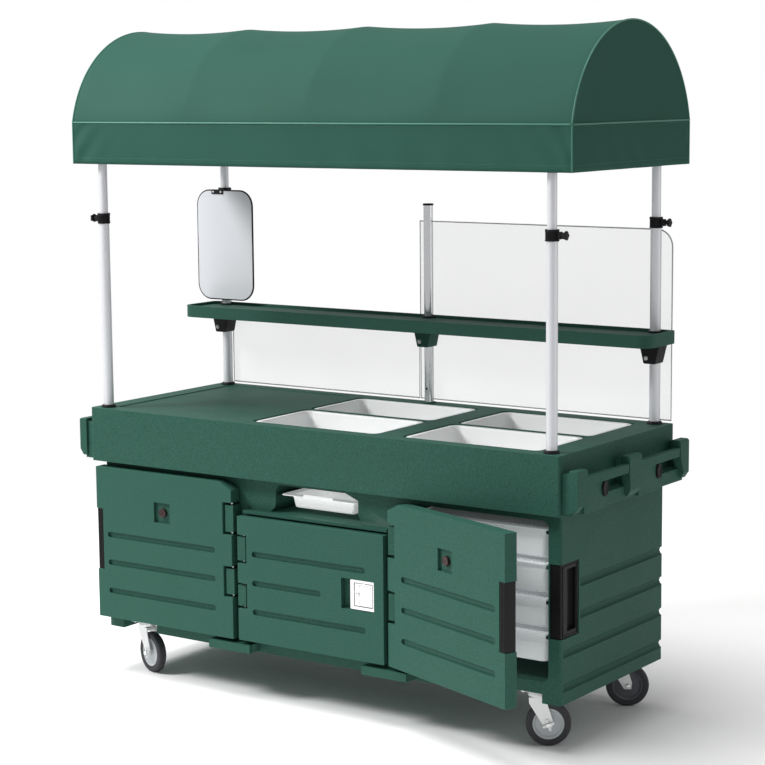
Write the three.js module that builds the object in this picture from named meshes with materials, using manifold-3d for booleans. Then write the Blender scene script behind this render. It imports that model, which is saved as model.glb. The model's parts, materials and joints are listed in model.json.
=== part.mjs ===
// Push vending cart: a moulded cabinet on casters, a deck with four food wells, and a canopy on four
// telescoping posts. Units are millimetres, +Z is up, +X runs along the cart and -Y is the side with
// the doors. Shapes are drawn in the cart's own coordinates, with z = 0 on the floor.
import * as THREE from "three";
import { mergeVertices } from "three/addons/utils/BufferGeometryUtils.js";
import Module from "manifold-3d";

// ---------- driving dimensions ----------
const gap = 0.3; // clearance between pieces that touch
const boreGap = 0.6; // clearance round a post in its bore
const originShiftY = 108; // puts the origin under the middle of the cart with its right door standing open
const deck = { halfLength: 1006, halfDepth: 394, bottom: 808, top: 1008, corner: 9 };
const cabinet = { halfLength: 983.5, front: -345, back: 363, bottom: 169, top: deck.bottom - gap };
const wellCentres = { x: [-20, 624], y: [-177, 167] };
const well = { length: 544, width: 328, rim: 6, ledge: 9, depth: 130 };
const pan = { length: 530, width: 325, depth: 100, wall: 3, flange: 12, corner: 24, taper: 12 };
const tray = { length: 326, width: 265, depth: 50, wall: 3, flange: 30, corner: 14, taper: 4, x: 11, out: 7 };
const counterTray = { x0: -930, x1: -345, y0: -332, y1: 344, depth: 3 };
const post = { x: 952, y: 353, outer: 19, inner: 17, foot: 80, top: 1727, flange: 27, flangeHeight: 10 };
const upperPost = { outer: 16, inner: 14, bottom: 1150, top: 2038.2 };
const collar = { outer: 24.5, bottom: 1690, top: 1728 };
const centrePost = { x: 10, radius: 17.5, top: 1745, capRadius: 20, capHeight: 6 };
const shelf = { halfLength: 1025, front: 165, back: 371, bottom: 1293, top: 1338, corner: 48 };
const shelfDish = { rim: 12, recess: 10, rearCorner: 20 };
const bracket = { halfWidth: 33, front: 308, back: 371, bottom: 1222 };
const shield = { y0: 374, y1: 379, bottom: 1020, edge: -45, right: 1004, left: -940 };
const shieldTops = { right: 1684, left: 1272, corner: 60, leftCorner: 20 };
const board = { x0: -1063, x1: -790, y0: 317, y1: 323, z0: 1353, z1: 1780, corner: 60 };
const canopy = { halfLength: 1050, halfDepth: 400, hem: 1909, spring: 2059, apex: 2390, cloth: 5 };
const hoopTube = 9.5;
const doorFront = -400;
const doorBack = -352;
const doorOpenDeg = 20.2; // how far the right door stands open
const hingePin = { radius: 5, y: -376, fromEdge: 14 };
const wheel = { radius: 76, width: 32, trail: 34.7, swivelX: 855, swivelY: 275 };
const casterYawDeg = { front_left: -19, front_right: 32, rear_left: 32, rear_right: 32 };

// ---------- finishes ----------
const finish = (colour, roughness, metalness = 0) =>
  new THREE.MeshStandardMaterial({ color: colour, roughness, metalness });
const greenShell = finish(0x2f5c4c, 0.6);
const greenDoor = finish(0x325f50, 0.6);
const blackPlastic = finish(0x1c1c1e, 0.55);
const whitePan = finish(0xe9ebea, 0.4);
const foodBoxWhite = finish(0xcdd3d6, 0.4);
const satinAluminium = finish(0xc9ccd0, 0.35, 0.9);
const polishedSteel = finish(0xb9bcc0, 0.15, 1);
const zincPlate = finish(0xd4d6d8, 0.35, 0.9);
const clearSheet = finish(0xf2f5f6, 0.05);
const boardWhite = finish(0xe6e8ec, 0.35);
const canopyVinyl = finish(0x3f6b5b, 0.7);
const tyreGrey = finish(0x3a3b3f, 0.8);
const lockBrown = finish(0x3c2a2a, 0.5);

// ---------- solids ----------
const wasm = await Module();
wasm.setup();

// A closed geometry as a manifold solid.
function solid(geometry) {
  const plain = geometry.index ? geometry.toNonIndexed() : geometry.clone();
  plain.deleteAttribute("normal");
  plain.deleteAttribute("uv");
  const merged = mergeVertices(plain, 1e-3);
  const mesh = new wasm.Mesh({
    numProp: 3,
    vertProperties: merged.attributes.position.array,
    triVerts: new Uint32Array(merged.index.array),
  });
  return new wasm.Manifold(mesh);
}

// A manifold solid as a geometry.
function geometryOf(made) {
  const mesh = made.getMesh();
  const geometry = new THREE.BufferGeometry();
  geometry.setAttribute("position", new THREE.BufferAttribute(mesh.vertProperties, 3));
  geometry.setIndex(new THREE.BufferAttribute(mesh.triVerts, 1));
  geometry.computeVertexNormals();
  return geometry;
}

const join = (...solids) => solids.reduce((whole, next) => whole.add(next));
const cut = (whole, ...tools) => tools.reduce((left, tool) => left.subtract(tool), whole);

function box(x0, x1, y0, y1, z0, z1) {
  const geometry = new THREE.BoxGeometry(x1 - x0, y1 - y0, z1 - z0);
  return solid(geometry.translate((x0 + x1) / 2, (y0 + y1) / 2, (z0 + z1) / 2));
}

// A round bar along Z, from z0 to z1.
function rod(x, y, z0, z1, radius, sides = 16) {
  const geometry = new THREE.CylinderGeometry(radius, radius, z1 - z0, sides);
  return solid(geometry.rotateX(Math.PI / 2).translate(x, y, (z0 + z1) / 2));
}

// A round bar along X or Y.
function crossRod(axis, from, to, a, b, radius, sides = 16) {
  const geometry = new THREE.CylinderGeometry(radius, radius, to - from, sides);
  const middle = (from + to) / 2;
  if (axis === "x") return solid(geometry.rotateZ(Math.PI / 2).translate(middle, a, b));
  return solid(geometry.translate(a, middle, b));
}

const tube = (x, y, z0, z1, outer, inner, sides = 16) =>
  cut(rod(x, y, z0, z1, outer, sides), rod(x, y, z0 - 1, z1 + 1, inner, sides));

// A rectangle with rounded corners; the radii run from the low corner round anticlockwise.
function roundedRectangle(a0, a1, b0, b1, radii) {
  const [r0, r1, r2, r3] = Array.isArray(radii) ? radii : [radii, radii, radii, radii];
  const shape = new THREE.Shape();
  shape.moveTo(a0 + r0, b0);
  shape.lineTo(a1 - r1, b0);
  if (r1) shape.absarc(a1 - r1, b0 + r1, r1, -Math.PI / 2, 0);
  shape.lineTo(a1, b1 - r2);
  if (r2) shape.absarc(a1 - r2, b1 - r2, r2, 0, Math.PI / 2);
  shape.lineTo(a0 + r3, b1);
  if (r3) shape.absarc(a0 + r3, b1 - r3, r3, Math.PI / 2, Math.PI);
  shape.lineTo(a0, b0 + r0);
  if (r0) shape.absarc(a0 + r0, b0 + r0, r0, Math.PI, Math.PI * 1.5);
  return shape;
}

function outline(points) {
  return new THREE.Shape(points.map(([a, b]) => new THREE.Vector2(a, b)));
}

// Extrudes an XY shape from z0 to z1.
function plate(shape, z0, z1, segments = 3) {
  const options = { depth: z1 - z0, bevelEnabled: false, curveSegments: segments };
  return solid(new THREE.ExtrudeGeometry(shape, options).translate(0, 0, z0));
}

// Extrudes an XZ shape from y0 to y1.
function panel(shape, y0, y1, segments = 3) {
  const options = { depth: y1 - y0, bevelEnabled: false, curveSegments: segments };
  return solid(new THREE.ExtrudeGeometry(shape, options).rotateX(Math.PI / 2).translate(0, y1, 0));
}

// A rounded block centred on x = y = 0 whose lower end is smaller than its upper end.
function taperedBlock(length, width, z0, z1, corner, shrink) {
  const shape = roundedRectangle(-length / 2, length / 2, -width / 2, width / 2, corner);
  const options = { depth: z1 - z0, bevelEnabled: false, curveSegments: 2 };
  const geometry = new THREE.ExtrudeGeometry(shape, options).translate(0, 0, z0);
  const place = geometry.attributes.position;
  for (let i = 0; i < place.count; i += 1) {
    const down = (z1 - place.getZ(i)) / (z1 - z0);
    place.setX(i, place.getX(i) * (1 - (down * shrink * 2) / length));
    place.setY(i, place.getY(i) * (1 - (down * shrink * 2) / width));
  }
  return solid(geometry);
}

// ---------- assembly helpers ----------
const cart = new THREE.Group();
cart.position.y = originShiftY;

function piece(name, made, material, parent = cart) {
  const mesh = new THREE.Mesh(geometryOf(made), material);
  mesh.name = name;
  parent.add(mesh);
  return mesh;
}

// A group that turns its pieces about a vertical line; the pieces keep the cart's coordinates.
function turnedGroup(x, y, angleDeg) {
  const pivot = new THREE.Group();
  pivot.position.set(x, y, 0);
  pivot.rotation.z = THREE.MathUtils.degToRad(angleDeg);
  const inside = new THREE.Group();
  inside.position.set(-x, -y, 0);
  pivot.add(inside);
  cart.add(pivot);
  return inside;
}

const ends = [
  ["left", -1],
  ["right", 1],
];
const corners = [
  ["front_left", -1, -1],
  ["front_right", 1, -1],
  ["rear_left", -1, 1],
  ["rear_right", 1, 1],
];

// ---------- deck ----------
const handle = { outer: 1070, blockInner: 1036, barInner: 1046, bottom: 824, top: 962 };
const neck = { inset: 9, bottom: 834, top: 951 };
const gripBar = { bottom: 906, top: 936, end: 380 };
const apron = { out: 1048, bottom: 814, top: 860, end: 380 };
const apronPanel = { out: 1059, nearMiddle: 43, farFromMiddle: 186, end: 330 };
// Each upright in Y at its bottom and over the height of the grip bar; the outer ones taper on one side.
const handleUprights = [
  { low: [-388, -356], high: [-388, -324] },
  { low: [-34, 34], high: [-43, 43] },
  { low: [356, 388], high: [324, 388] },
];

// One upright of a handle at the +X end: a narrow neck at the wall and a larger block outside it.
function handleUpright({ low, high }) {
  const { outer, blockInner, bottom, top } = handle;
  const face = outline([
    [low[0], bottom],
    [low[1], bottom],
    [high[1], gripBar.bottom],
    [high[1], top],
    [high[0], top],
    [high[0], gripBar.bottom],
  ]);
  const side = outline([
    [blockInner, bottom - 6],
    [outer - 16, bottom - 1],
    [outer, bottom + 22],
    [outer, top - 6],
    [outer - 6, top],
    [blockInner, top],
  ]);
  const block = alongX(face, blockInner, outer, 1).intersect(panel(side, high[0] - 1, high[1] + 1));
  const wall = deck.halfLength - 2;
  const from = low[0] + neck.inset;
  return join(block, box(wall, blockInner + 2, from, low[1] - neck.inset, neck.bottom, neck.top));
}

// One end's handle: uprights, a grip bar across them, an apron below and panels that close half of each gap.
function endHandle(side) {
  const { out, bottom, top, end } = apron;
  const solids = handleUprights.map(handleUpright);
  const barOut = handle.outer - 2;
  solids.push(box(handle.barInner, barOut, -gripBar.end, gripBar.end, gripBar.bottom, gripBar.top));
  solids.push(box(deck.halfLength - 2, out, -end, end, bottom, top));
  const { nearMiddle, farFromMiddle } = apronPanel;
  for (const [y0, y1] of [[-apronPanel.end, -farFromMiddle], [nearMiddle - 5, farFromMiddle]]) {
    solids.push(box(out - 4, apronPanel.out, y0, y1, bottom, gripBar.bottom + 2));
  }
  const made = join(...solids);
  return side > 0 ? made : made.mirror([1, 0, 0]);
}

function wellCut(x, y) {
  const around = (a, b) => roundedRectangle(x - a, x + a, y - b, y + b, pan.corner);
  const recess = around(well.length / 2, well.width / 2);
  const hole = around(pan.length / 2 - well.ledge, pan.width / 2 - well.ledge);
  return join(
    plate(recess, deck.top - well.rim, deck.top + 1, 2),
    plate(hole, deck.top - well.depth, deck.top, 2),
  );
}

function makeDeck() {
  const { halfLength, halfDepth, corner } = deck;
  const footprint = roundedRectangle(-halfLength, halfLength, -halfDepth, halfDepth, corner);
  const body = plate(footprint, deck.bottom, deck.top);
  const tools = [];
  for (const x of wellCentres.x) {
    for (const y of wellCentres.y) tools.push(wellCut(x, y));
  }
  const { x0, x1, y0, y1, depth } = counterTray;
  tools.push(plate(roundedRectangle(x0, x1, y0, y1, 18), deck.top - depth, deck.top + 1, 2));
  const socket = (x, y, radius) => rod(x, y, deck.top - post.foot - gap, deck.top + 1, radius + boreGap);
  for (const [, sx, sy] of corners) tools.push(socket(sx * post.x, sy * post.y, post.outer));
  tools.push(socket(centrePost.x, post.y, centrePost.radius));
  piece("deck", cut(join(body, endHandle(1), endHandle(-1)), ...tools), greenShell);
}

// ---------- cabinet ----------
const bay = { inner: 385, outer: 936, bottom: 241, top: 781, back: 330, corner: 25 };
const middleBay = { x0: -262, x1: 264, bottom: 250, top: 640, corner: 20 };
const alcove = {
  x0: -180,
  x1: 178,
  bottom: 690,
  top: 790,
  chamfer: 22,
  flare: 24,
  flareTop: 722,
  back: -60,
  ledgeTop: 757,
  ledgeHeight: 9,
  ledgeLeft: 16,
  ledgeRight: 6,
};
const pocket = { x0: 940, y1: -228, bottom: 390, top: 640 };
const sideGroove = { heights: [560, 452, 340, 225], radius: 15, proud: 2, front: -330, besidePocket: -219 };
const casterPocket = { x0: 750, x1: 912, y0: 190, top: 200 };
const boxStack = { count: 4, top: 754, pitch: 116.8, centreX: 660.5, centreY: -167, height: 105, lid: 9 };
const rail = { width: 16, height: 10, setBack: 12 };
const lip = { x0: -305, x1: 318, reach: 32, bottom: 679, top: 690 };
const bumper = { spans: [[-454, -267], [223, 410]], bottom: 174, top: 204 };
const knuckle = { half: 18, front: -394, bore: 5.4 };
const doorKnuckles = {
  outer: [
    [608, 705],
    [380, 473],
  ],
  middle: [
    [510, 596],
    [345, 420],
  ],
};
const pinX = { left: -354, middle: -301, right: 354 };

function alcoveShape() {
  const { x0, x1, bottom, top, chamfer, flare, flareTop } = alcove;
  return outline([
    [x0 - flare, bottom],
    [x1 + flare, bottom],
    [x1 + flare / 4, (bottom + flareTop) / 2],
    [x1, flareTop],
    [x1, top - chamfer],
    [x1 - 54, top],
    [x0 + 14, top],
    [x0, top - chamfer],
    [x0, flareTop],
    [x0 - flare / 4, (bottom + flareTop) / 2],
  ]);
}

function knuckleBlocks(x, spans) {
  const { half, front } = knuckle;
  return spans.map(([z0, z1]) => box(x - half, x + half, front, cabinet.front + 2, z0, z1));
}

function sideGrooveTool(side, z) {
  const besidePocket = z < pocket.top + 10 && z > pocket.bottom - 10;
  const from = besidePocket ? sideGroove.besidePocket : sideGroove.front;
  const x = side * (cabinet.halfLength + sideGroove.proud);
  return crossRod("y", from, cabinet.back + 1, x, z, sideGroove.radius, 8);
}

function makeCabinet() {
  const { halfLength, front, back, bottom, top } = cabinet;
  const tools = [];
  const added = [];
  for (const [, side] of ends) {
    const bayX = side > 0 ? [bay.inner, bay.outer] : [-bay.outer, -bay.inner];
    tools.push(panel(roundedRectangle(...bayX, bay.bottom, bay.top, bay.corner), front - 1, bay.back, 3));
    const pocketX = side > 0 ? [pocket.x0, halfLength + 1] : [-halfLength - 1, -pocket.x0];
    tools.push(box(...pocketX, front - 1, pocket.y1, pocket.bottom, pocket.top));
    for (const z of sideGroove.heights) tools.push(sideGrooveTool(side, z));
  }
  const { x0, x1, corner } = middleBay;
  const middleHole = roundedRectangle(x0, x1, middleBay.bottom, middleBay.top, corner);
  tools.push(panel(middleHole, front - 1, bay.back, 3));
  tools.push(panel(alcoveShape(), front - 1, alcove.back));
  for (const [, sx, sy] of corners) {
    const x = sx > 0 ? [casterPocket.x0, casterPocket.x1] : [-casterPocket.x1, -casterPocket.x0];
    const y = sy > 0 ? [casterPocket.y0, back + 1] : [front - 1, -casterPocket.y0];
    tools.push(box(...x, ...y, bottom - 1, casterPocket.top));
  }
  // Ledges for the tray's rim, moulded in the sides of the alcove.
  const ledge = (a, b) =>
    box(a, b, front + 15, alcove.back + 1, alcove.ledgeTop - alcove.ledgeHeight, alcove.ledgeTop);
  added.push(ledge(alcove.x0 - 1, alcove.x0 + alcove.ledgeLeft));
  added.push(ledge(alcove.x1 - alcove.ledgeRight, alcove.x1 + 1));
  // Rails that carry the food boxes in the right bay, and the same rails in the left bay.
  for (const [, side] of ends) {
    for (let i = 0; i < boxStack.count; i += 1) {
      const railTop = boxStack.top - i * boxStack.pitch - boxStack.lid - gap;
      const sides = [
        [bay.inner - 1, bay.inner + rail.width],
        [bay.outer - rail.width, bay.outer + 1],
      ];
      for (const [a, b] of sides) {
        const x = side > 0 ? [a, b] : [-b, -a];
        added.push(box(...x, front + rail.setBack, bay.back + 1, railTop - rail.height, railTop));
      }
    }
  }
  // Hinge knuckles, the lip over the middle door and the two bumper bars below the doors.
  added.push(...knuckleBlocks(pinX.left, doorKnuckles.outer));
  added.push(...knuckleBlocks(pinX.middle, doorKnuckles.middle));
  added.push(...knuckleBlocks(pinX.right, doorKnuckles.outer));
  added.push(box(lip.x0, lip.x1, front - lip.reach, front + 2, lip.bottom, lip.top));
  for (const span of bumper.spans) {
    added.push(box(...span, doorFront, front + 2, bumper.bottom, bumper.top));
  }
  // Pads that the casters bolt to.
  for (const [, sx, sy] of corners) {
    const x = sx * wheel.swivelX;
    const y = sy * wheel.swivelY;
    added.push(box(x - 50, x + 50, y - 42, y + 42, casterPocket.top - 6, casterPocket.top + 2));
    added.push(rod(x, y, 170, casterPocket.top, 27, 16));
  }
  const shell = cut(box(-halfLength, halfLength, front, back, bottom, top), ...tools);
  const bores = [
    [pinX.left, doorKnuckles.outer],
    [pinX.middle, doorKnuckles.middle],
    [pinX.right, doorKnuckles.outer],
  ].map(([x, spans]) => rod(x, hingePin.y, spans[1][0] - 20, spans[0][1] + 20, knuckle.bore, 12));
  piece("cabinet", cut(join(shell, ...added), ...bores), greenShell);
  for (const [name, side] of ends) {
    const x = side > 0 ? [pocket.x0 + gap, halfLength - 3] : [-halfLength + 3, -pocket.x0 - gap];
    const fingerX = side > 0 ? [halfLength - 22, halfLength] : [-halfLength, -halfLength + 22];
    const insert = box(...x, front + 3, pocket.y1 - gap, pocket.bottom + gap, pocket.top - gap);
    const fingers = box(...fingerX, front + 45, pocket.y1 - 14, pocket.bottom + 22, pocket.top - 22);
    piece(`corner_pocket_${name}`, cut(insert, fingers), blackPlastic);
  }
}

// ---------- doors ----------
const doorBottom = 218;
const doorTop = 788;
const doorNotches = {
  outer: [
    [598, 715],
    [370, 483],
  ],
  middle: [
    [501, 605],
    [336, 429],
  ],
};
const grip = { width: 30, bottom: 400, top: 630 };
const outerGrooves = { heights: [535, 430, 322], span: [418, 932] };
const groove = { width: 22, depth: 9 };
const lock = { x: 665, z: 643, half: 38, recess: 12, radius: 15 };
const latch = { x0: 141, x1: 279, z0: 397, z1: 505, recess: 22 };

// A long round-ended groove in a door's front face.
function grooveTool(x0, x1, z) {
  const shape = roundedRectangle(x0, x1, z - groove.width / 2, z + groove.width / 2, groove.width / 2 - 0.1);
  return panel(shape, doorFront - 1, doorFront + groove.depth, 2);
}

function pinBore(x, spans) {
  return rod(x, hingePin.y, spans[1][0] - 22, spans[0][1] + 22, knuckle.bore, 12);
}

// The left or right door; side is -1 or +1, and its hinge edge is the one near the middle of the cart.
function outerDoor(name, side) {
  const hingeX = pinX[name];
  const edge = Math.abs(hingeX) - hingePin.fromEdge;
  const free = 984;
  const span = (a, b) => (side > 0 ? [a, b] : [-b, -a]);
  const shape = outline([
    [edge, doorBottom],
    [free, doorBottom],
    [free, doorTop],
    [edge + 60, doorTop],
    [edge, doorTop - 28],
  ]);
  let body = panel(shape, doorFront, doorBack);
  if (side < 0) body = body.mirror([1, 0, 0]);
  const through = (x, [z0, z1]) => box(...x, doorFront - 1, doorBack + 1, z0, z1);
  const tools = doorNotches.outer.map((notch) => through(span(edge - 1, edge + 40), notch));
  for (const z of outerGrooves.heights) tools.push(grooveTool(...span(...outerGrooves.span), z));
  const lockX = side * lock.x;
  const { half, recess } = lock;
  const lockFront = doorFront + recess;
  tools.push(box(lockX - half, lockX + half, doorFront - 1, lockFront, lock.z - half, lock.z + half));
  tools.push(through(span(free - grip.width, free + 1), [grip.bottom, grip.top]));
  tools.push(pinBore(hingeX, doorNotches.outer));
  const group = turnedGroup(hingeX, hingePin.y, side > 0 ? -doorOpenDeg : 0);
  piece(`door_${name}`, cut(body, ...tools), greenDoor, group);
  const gripX = span(free - grip.width + gap, free - 2);
  piece(
    `door_grip_${name}`,
    box(...gripX, doorFront + 2, doorBack - 2, grip.bottom + gap, grip.top - gap),
    blackPlastic,
    group,
  );
  const barrel = crossRod("y", doorFront + 1, doorFront + recess - gap, lockX, lock.z, lock.radius, 14);
  const slot = box(lockX - 1.5, lockX + 1.5, doorFront, doorFront + 4, lock.z - 7, lock.z + 7);
  piece(`lock_barrel_${name}`, cut(barrel, slot), lockBrown, group);
}

function middleDoor() {
  const x0 = pinX.middle - hingePin.fromEdge;
  const x1 = 319;
  const body = box(x0, x1, doorFront, doorBack, 220, 671);
  const notch = ([z0, z1]) => box(x0 - 1, x0 + 40, doorFront - 1, doorBack + 1, z0, z1);
  const tools = doorNotches.middle.map(notch);
  tools.push(grooveTool(-250, 243, 540));
  tools.push(grooveTool(-250, 53, 435));
  tools.push(grooveTool(-250, 243, 330));
  tools.push(box(latch.x0, latch.x1, doorFront - 1, doorFront + latch.recess, latch.z0, latch.z1));
  tools.push(pinBore(pinX.middle, doorNotches.middle));
  piece("door_middle", cut(body, ...tools), greenDoor);
  // The latch: a flat paddle that is pressed in about its left edge.
  const paddle = join(
    box(196, 270, doorFront + 4, doorFront + 7, 414, 492),
    crossRod("x", 196, 204, doorFront + 8.5, 453, 4.5, 10),
    rod(200, doorFront + 8.5, 424, 482, 4, 10),
  );
  piece("latch_paddle", paddle, zincPlate);
}

function hingePins() {
  const lines = [
    ["left", doorKnuckles.outer],
    ["middle", doorKnuckles.middle],
    ["right", doorKnuckles.outer],
  ];
  for (const [name, spans] of lines) {
    piece(
      `hinge_pin_${name}`,
      rod(pinX[name], hingePin.y, spans[1][0] - 18, spans[0][1] + 18, hingePin.radius, 12),
      polishedSteel,
    );
  }
}

// ---------- pans and boxes ----------
function openPan({ length, width, depth, wall, flange, corner, taper }) {
  const block = (inset, z0, z1, radius) =>
    taperedBlock(length - inset * 2, width - inset * 2, z0, z1, radius, taper);
  const rim = plate(roundedRectangle(-length / 2, length / 2, -width / 2, width / 2, corner), -3, 0, 2);
  const body = join(block(flange, -depth, -1, corner), rim);
  return cut(body, block(flange + wall, -depth + wall, 1, corner - wall));
}

function makePans() {
  wellCentres.x.forEach((x, column) => {
    wellCentres.y.forEach((y, row) => {
      const name = `well_pan_${row ? "rear" : "front"}_${column ? "right" : "left"}`;
      const made = piece(name, openPan(pan), whitePan);
      made.position.set(x, y, deck.top - well.rim + 3 + gap);
    });
  });
  const { count, top, pitch, centreX, centreY, height, lid } = boxStack;
  for (let i = 0; i < count; i += 1) {
    const body = taperedBlock(514, 312, -height, -lid + 1, 20, 7);
    const cover = plate(roundedRectangle(-266, 266, -162, 162, 22), -lid, 0, 2);
    const made = piece(`food_box_${i + 1}`, join(body, cover), foodBoxWhite);
    made.position.set(centreX, centreY, top - i * pitch);
  }
  const drawer = piece("utility_tray", openPan(tray), whitePan);
  drawer.position.set(tray.x, cabinet.front - tray.out + tray.width / 2, alcove.ledgeTop + 3 + gap);
}

// ---------- posts, shelf and shields ----------
function makePosts() {
  for (const [name, sx, sy] of corners) {
    const x = sx * post.x;
    const y = sy * post.y;
    const lower = join(
      tube(0, 0, deck.top - post.foot, post.top, post.outer, post.inner),
      tube(0, 0, deck.top + gap, deck.top + post.flangeHeight, post.flange, post.inner + 0.5),
    );
    piece(`lower_post_${name}`, lower, satinAluminium).position.set(x, y, 0);
    const lug = box(collar.outer - 3, 36, -8, 8, collar.bottom + 7, collar.top - 7);
    const hole = rod(0, 0, collar.bottom - 1, collar.top + 1, post.outer + 0.7);
    const ring = cut(join(rod(0, 0, collar.bottom, collar.top, collar.outer), lug), hole);
    const clamp = piece(`clamp_collar_${name}`, sx > 0 ? ring : ring.mirror([1, 0, 0]), blackPlastic);
    clamp.position.set(x, y, 0);
    const middle = (collar.bottom + collar.top) / 2;
    const knob = join(
      crossRod("x", 36.5, 50, 0, middle, 7, 12),
      box(44, 56, -16, 16, middle - 6, middle + 6),
      box(44, 56, -6, 6, middle - 16, middle + 16),
    );
    piece(`clamp_knob_${name}`, sx > 0 ? knob : knob.mirror([1, 0, 0]), blackPlastic).position.set(x, y, 0);
    const upper = tube(0, 0, upperPost.bottom, upperPost.top, upperPost.outer, upperPost.inner);
    piece(`upper_post_${name}`, upper, satinAluminium).position.set(x, y, 0);
  }
  const { x, radius, top, capRadius, capHeight } = centrePost;
  const mast = join(
    rod(x, post.y, deck.top - post.foot, top, radius),
    rod(x, post.y, top - 1, top + capHeight, capRadius),
  );
  piece("centre_post", mast, polishedSteel);
}

function makeShelf() {
  const { halfLength, front, back, bottom, top, corner } = shelf;
  const { rim, recess, rearCorner } = shelfDish;
  const radii = [corner, corner, rearCorner, rearCorner];
  const whole = plate(roundedRectangle(-halfLength, halfLength, front, back, radii), bottom, top);
  const dish = roundedRectangle(-halfLength + rim, halfLength - rim, front + rim, back - rim, corner - rim);
  const holes = [-post.x, post.x].map((x) => rod(x, post.y, bottom - 1, top + 1, post.outer + 0.7));
  holes.push(rod(centrePost.x, post.y, bottom - 1, top + 1, centrePost.radius + 0.7));
  piece("shelf", cut(whole, plate(dish, top - recess, top + 1), ...holes), greenShell);
  const places = [
    ["left", -post.x, post.outer, blackPlastic],
    ["centre", centrePost.x, centrePost.radius, greenShell],
    ["right", post.x, post.outer, blackPlastic],
  ];
  for (const [name, x, radius, material] of places) {
    const { halfWidth, front: near, back: far, bottom: low } = bracket;
    const shape = outline([
      [x - halfWidth + 10, low],
      [x + halfWidth - 10, low],
      [x + halfWidth, bottom - 30],
      [x + halfWidth + 8, bottom - gap],
      [x - halfWidth - 8, bottom - gap],
      [x - halfWidth, bottom - 30],
    ]);
    const made = cut(panel(shape, near, far), rod(x, post.y, low - 1, bottom + 1, radius + 0.7));
    piece(`shelf_bracket_${name}`, made, material);
  }
}

function makeShields() {
  const { y0, y1, bottom, edge, right, left } = shield;
  const tops = shieldTops;
  const tall = roundedRectangle(edge + 3, right, bottom, tops.right, [0, 0, tops.corner, 0]);
  const low = roundedRectangle(left, edge - 3, bottom, tops.left, [0, 0, 0, tops.leftCorner]);
  piece("shield_right", panel(tall, y0, y1, 6), clearSheet);
  piece("shield_left", panel(low, y0, y1, 4), clearSheet);
}

// The message board hangs on a square sleeve that turns round the left rear post with room to spare.
const sleeve = { outer: 26, inner: 20, bottom: collar.top + 0.5, top: 1790 };

function makeBoard() {
  const { x0, x1, y0, y1, z0, z1, corner } = board;
  const { outer, inner, bottom, top } = sleeve;
  const sheet = panel(roundedRectangle(x0, x1, z0, z1, corner), y0, y1, 4);
  const block = box(-post.x - outer, -post.x + outer, y1 - 1, post.y + outer, bottom, top);
  const bore = box(-post.x - inner, -post.x + inner, post.y - inner, post.y + inner, bottom - 1, top + 1);
  const clip = box(-1003, -931, y0 - 5, y1 + 3, 1768, 1784);
  piece("message_board", cut(join(sheet, block, clip), bore), boardWhite);
}

// ---------- canopy ----------
const archRadius = (() => {
  const rise = canopy.apex - canopy.spring;
  return (canopy.halfDepth ** 2 + rise ** 2) / (2 * rise);
})();
const archCentre = canopy.apex - archRadius;

// The canopy's end outline, drawn in Y and Z, moved in by inset and run down to z = low.
function canopyOutline(inset, low) {
  const half = canopy.halfDepth - inset;
  const radius = archRadius - inset;
  const start = Math.acos(half / radius);
  const shape = new THREE.Shape();
  shape.moveTo(-half, low);
  shape.lineTo(half, low);
  shape.absarc(0, archCentre, radius, start, Math.PI - start);
  shape.lineTo(-half, low);
  return shape;
}

function alongX(shape, x0, x1, segments) {
  const options = { depth: x1 - x0, bevelEnabled: false, curveSegments: segments };
  const geometry = new THREE.ExtrudeGeometry(shape, options);
  return solid(geometry.rotateX(Math.PI / 2).rotateZ(Math.PI / 2).translate(x0, 0, 0));
}

const hoopXs = [-1030, -525, 0, 525, 1030];
const railY = 384;
const railZ = 2048;

function hoop(x, radius) {
  const start = Math.acos(railY / radius);
  const points = [];
  const steps = 10;
  for (let i = 0; i <= steps; i += 1) {
    const turn = start + ((Math.PI - 2 * start) * i) / steps;
    points.push(new THREE.Vector3(x, Math.cos(turn) * radius, archCentre + Math.sin(turn) * radius));
  }
  const section = new THREE.Shape().absarc(0, 0, hoopTube, 0, Math.PI * 2);
  const path = new THREE.CatmullRomCurve3(points);
  const options = { steps, bevelEnabled: false, curveSegments: 3, extrudePath: path };
  return solid(new THREE.ExtrudeGeometry(section, options));
}

function makeCanopy() {
  const { halfLength, cloth, hem } = canopy;
  const outer = alongX(canopyOutline(0, hem), -halfLength, halfLength, 16);
  const inner = alongX(canopyOutline(cloth, hem - 5), -halfLength + cloth, halfLength - cloth, 16);
  piece("canopy_cover", cut(outer, inner), canopyVinyl);
  const hoopRadius = Math.hypot(railY, railZ - archCentre);
  const bars = hoopXs.map((x) => hoop(x, hoopRadius));
  for (const y of [-railY, railY]) bars.push(crossRod("x", -1030, 1030, y, railZ, hoopTube, 8));
  for (const x of [-post.x, post.x]) bars.push(crossRod("y", -railY, railY, x, railZ, hoopTube, 8));
  piece("canopy_frame", join(...bars), satinAluminium);
}

// ---------- casters ----------
const brakeCross = { arm: 22, half: 7, face: 9, back: 4.6 };

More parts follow.
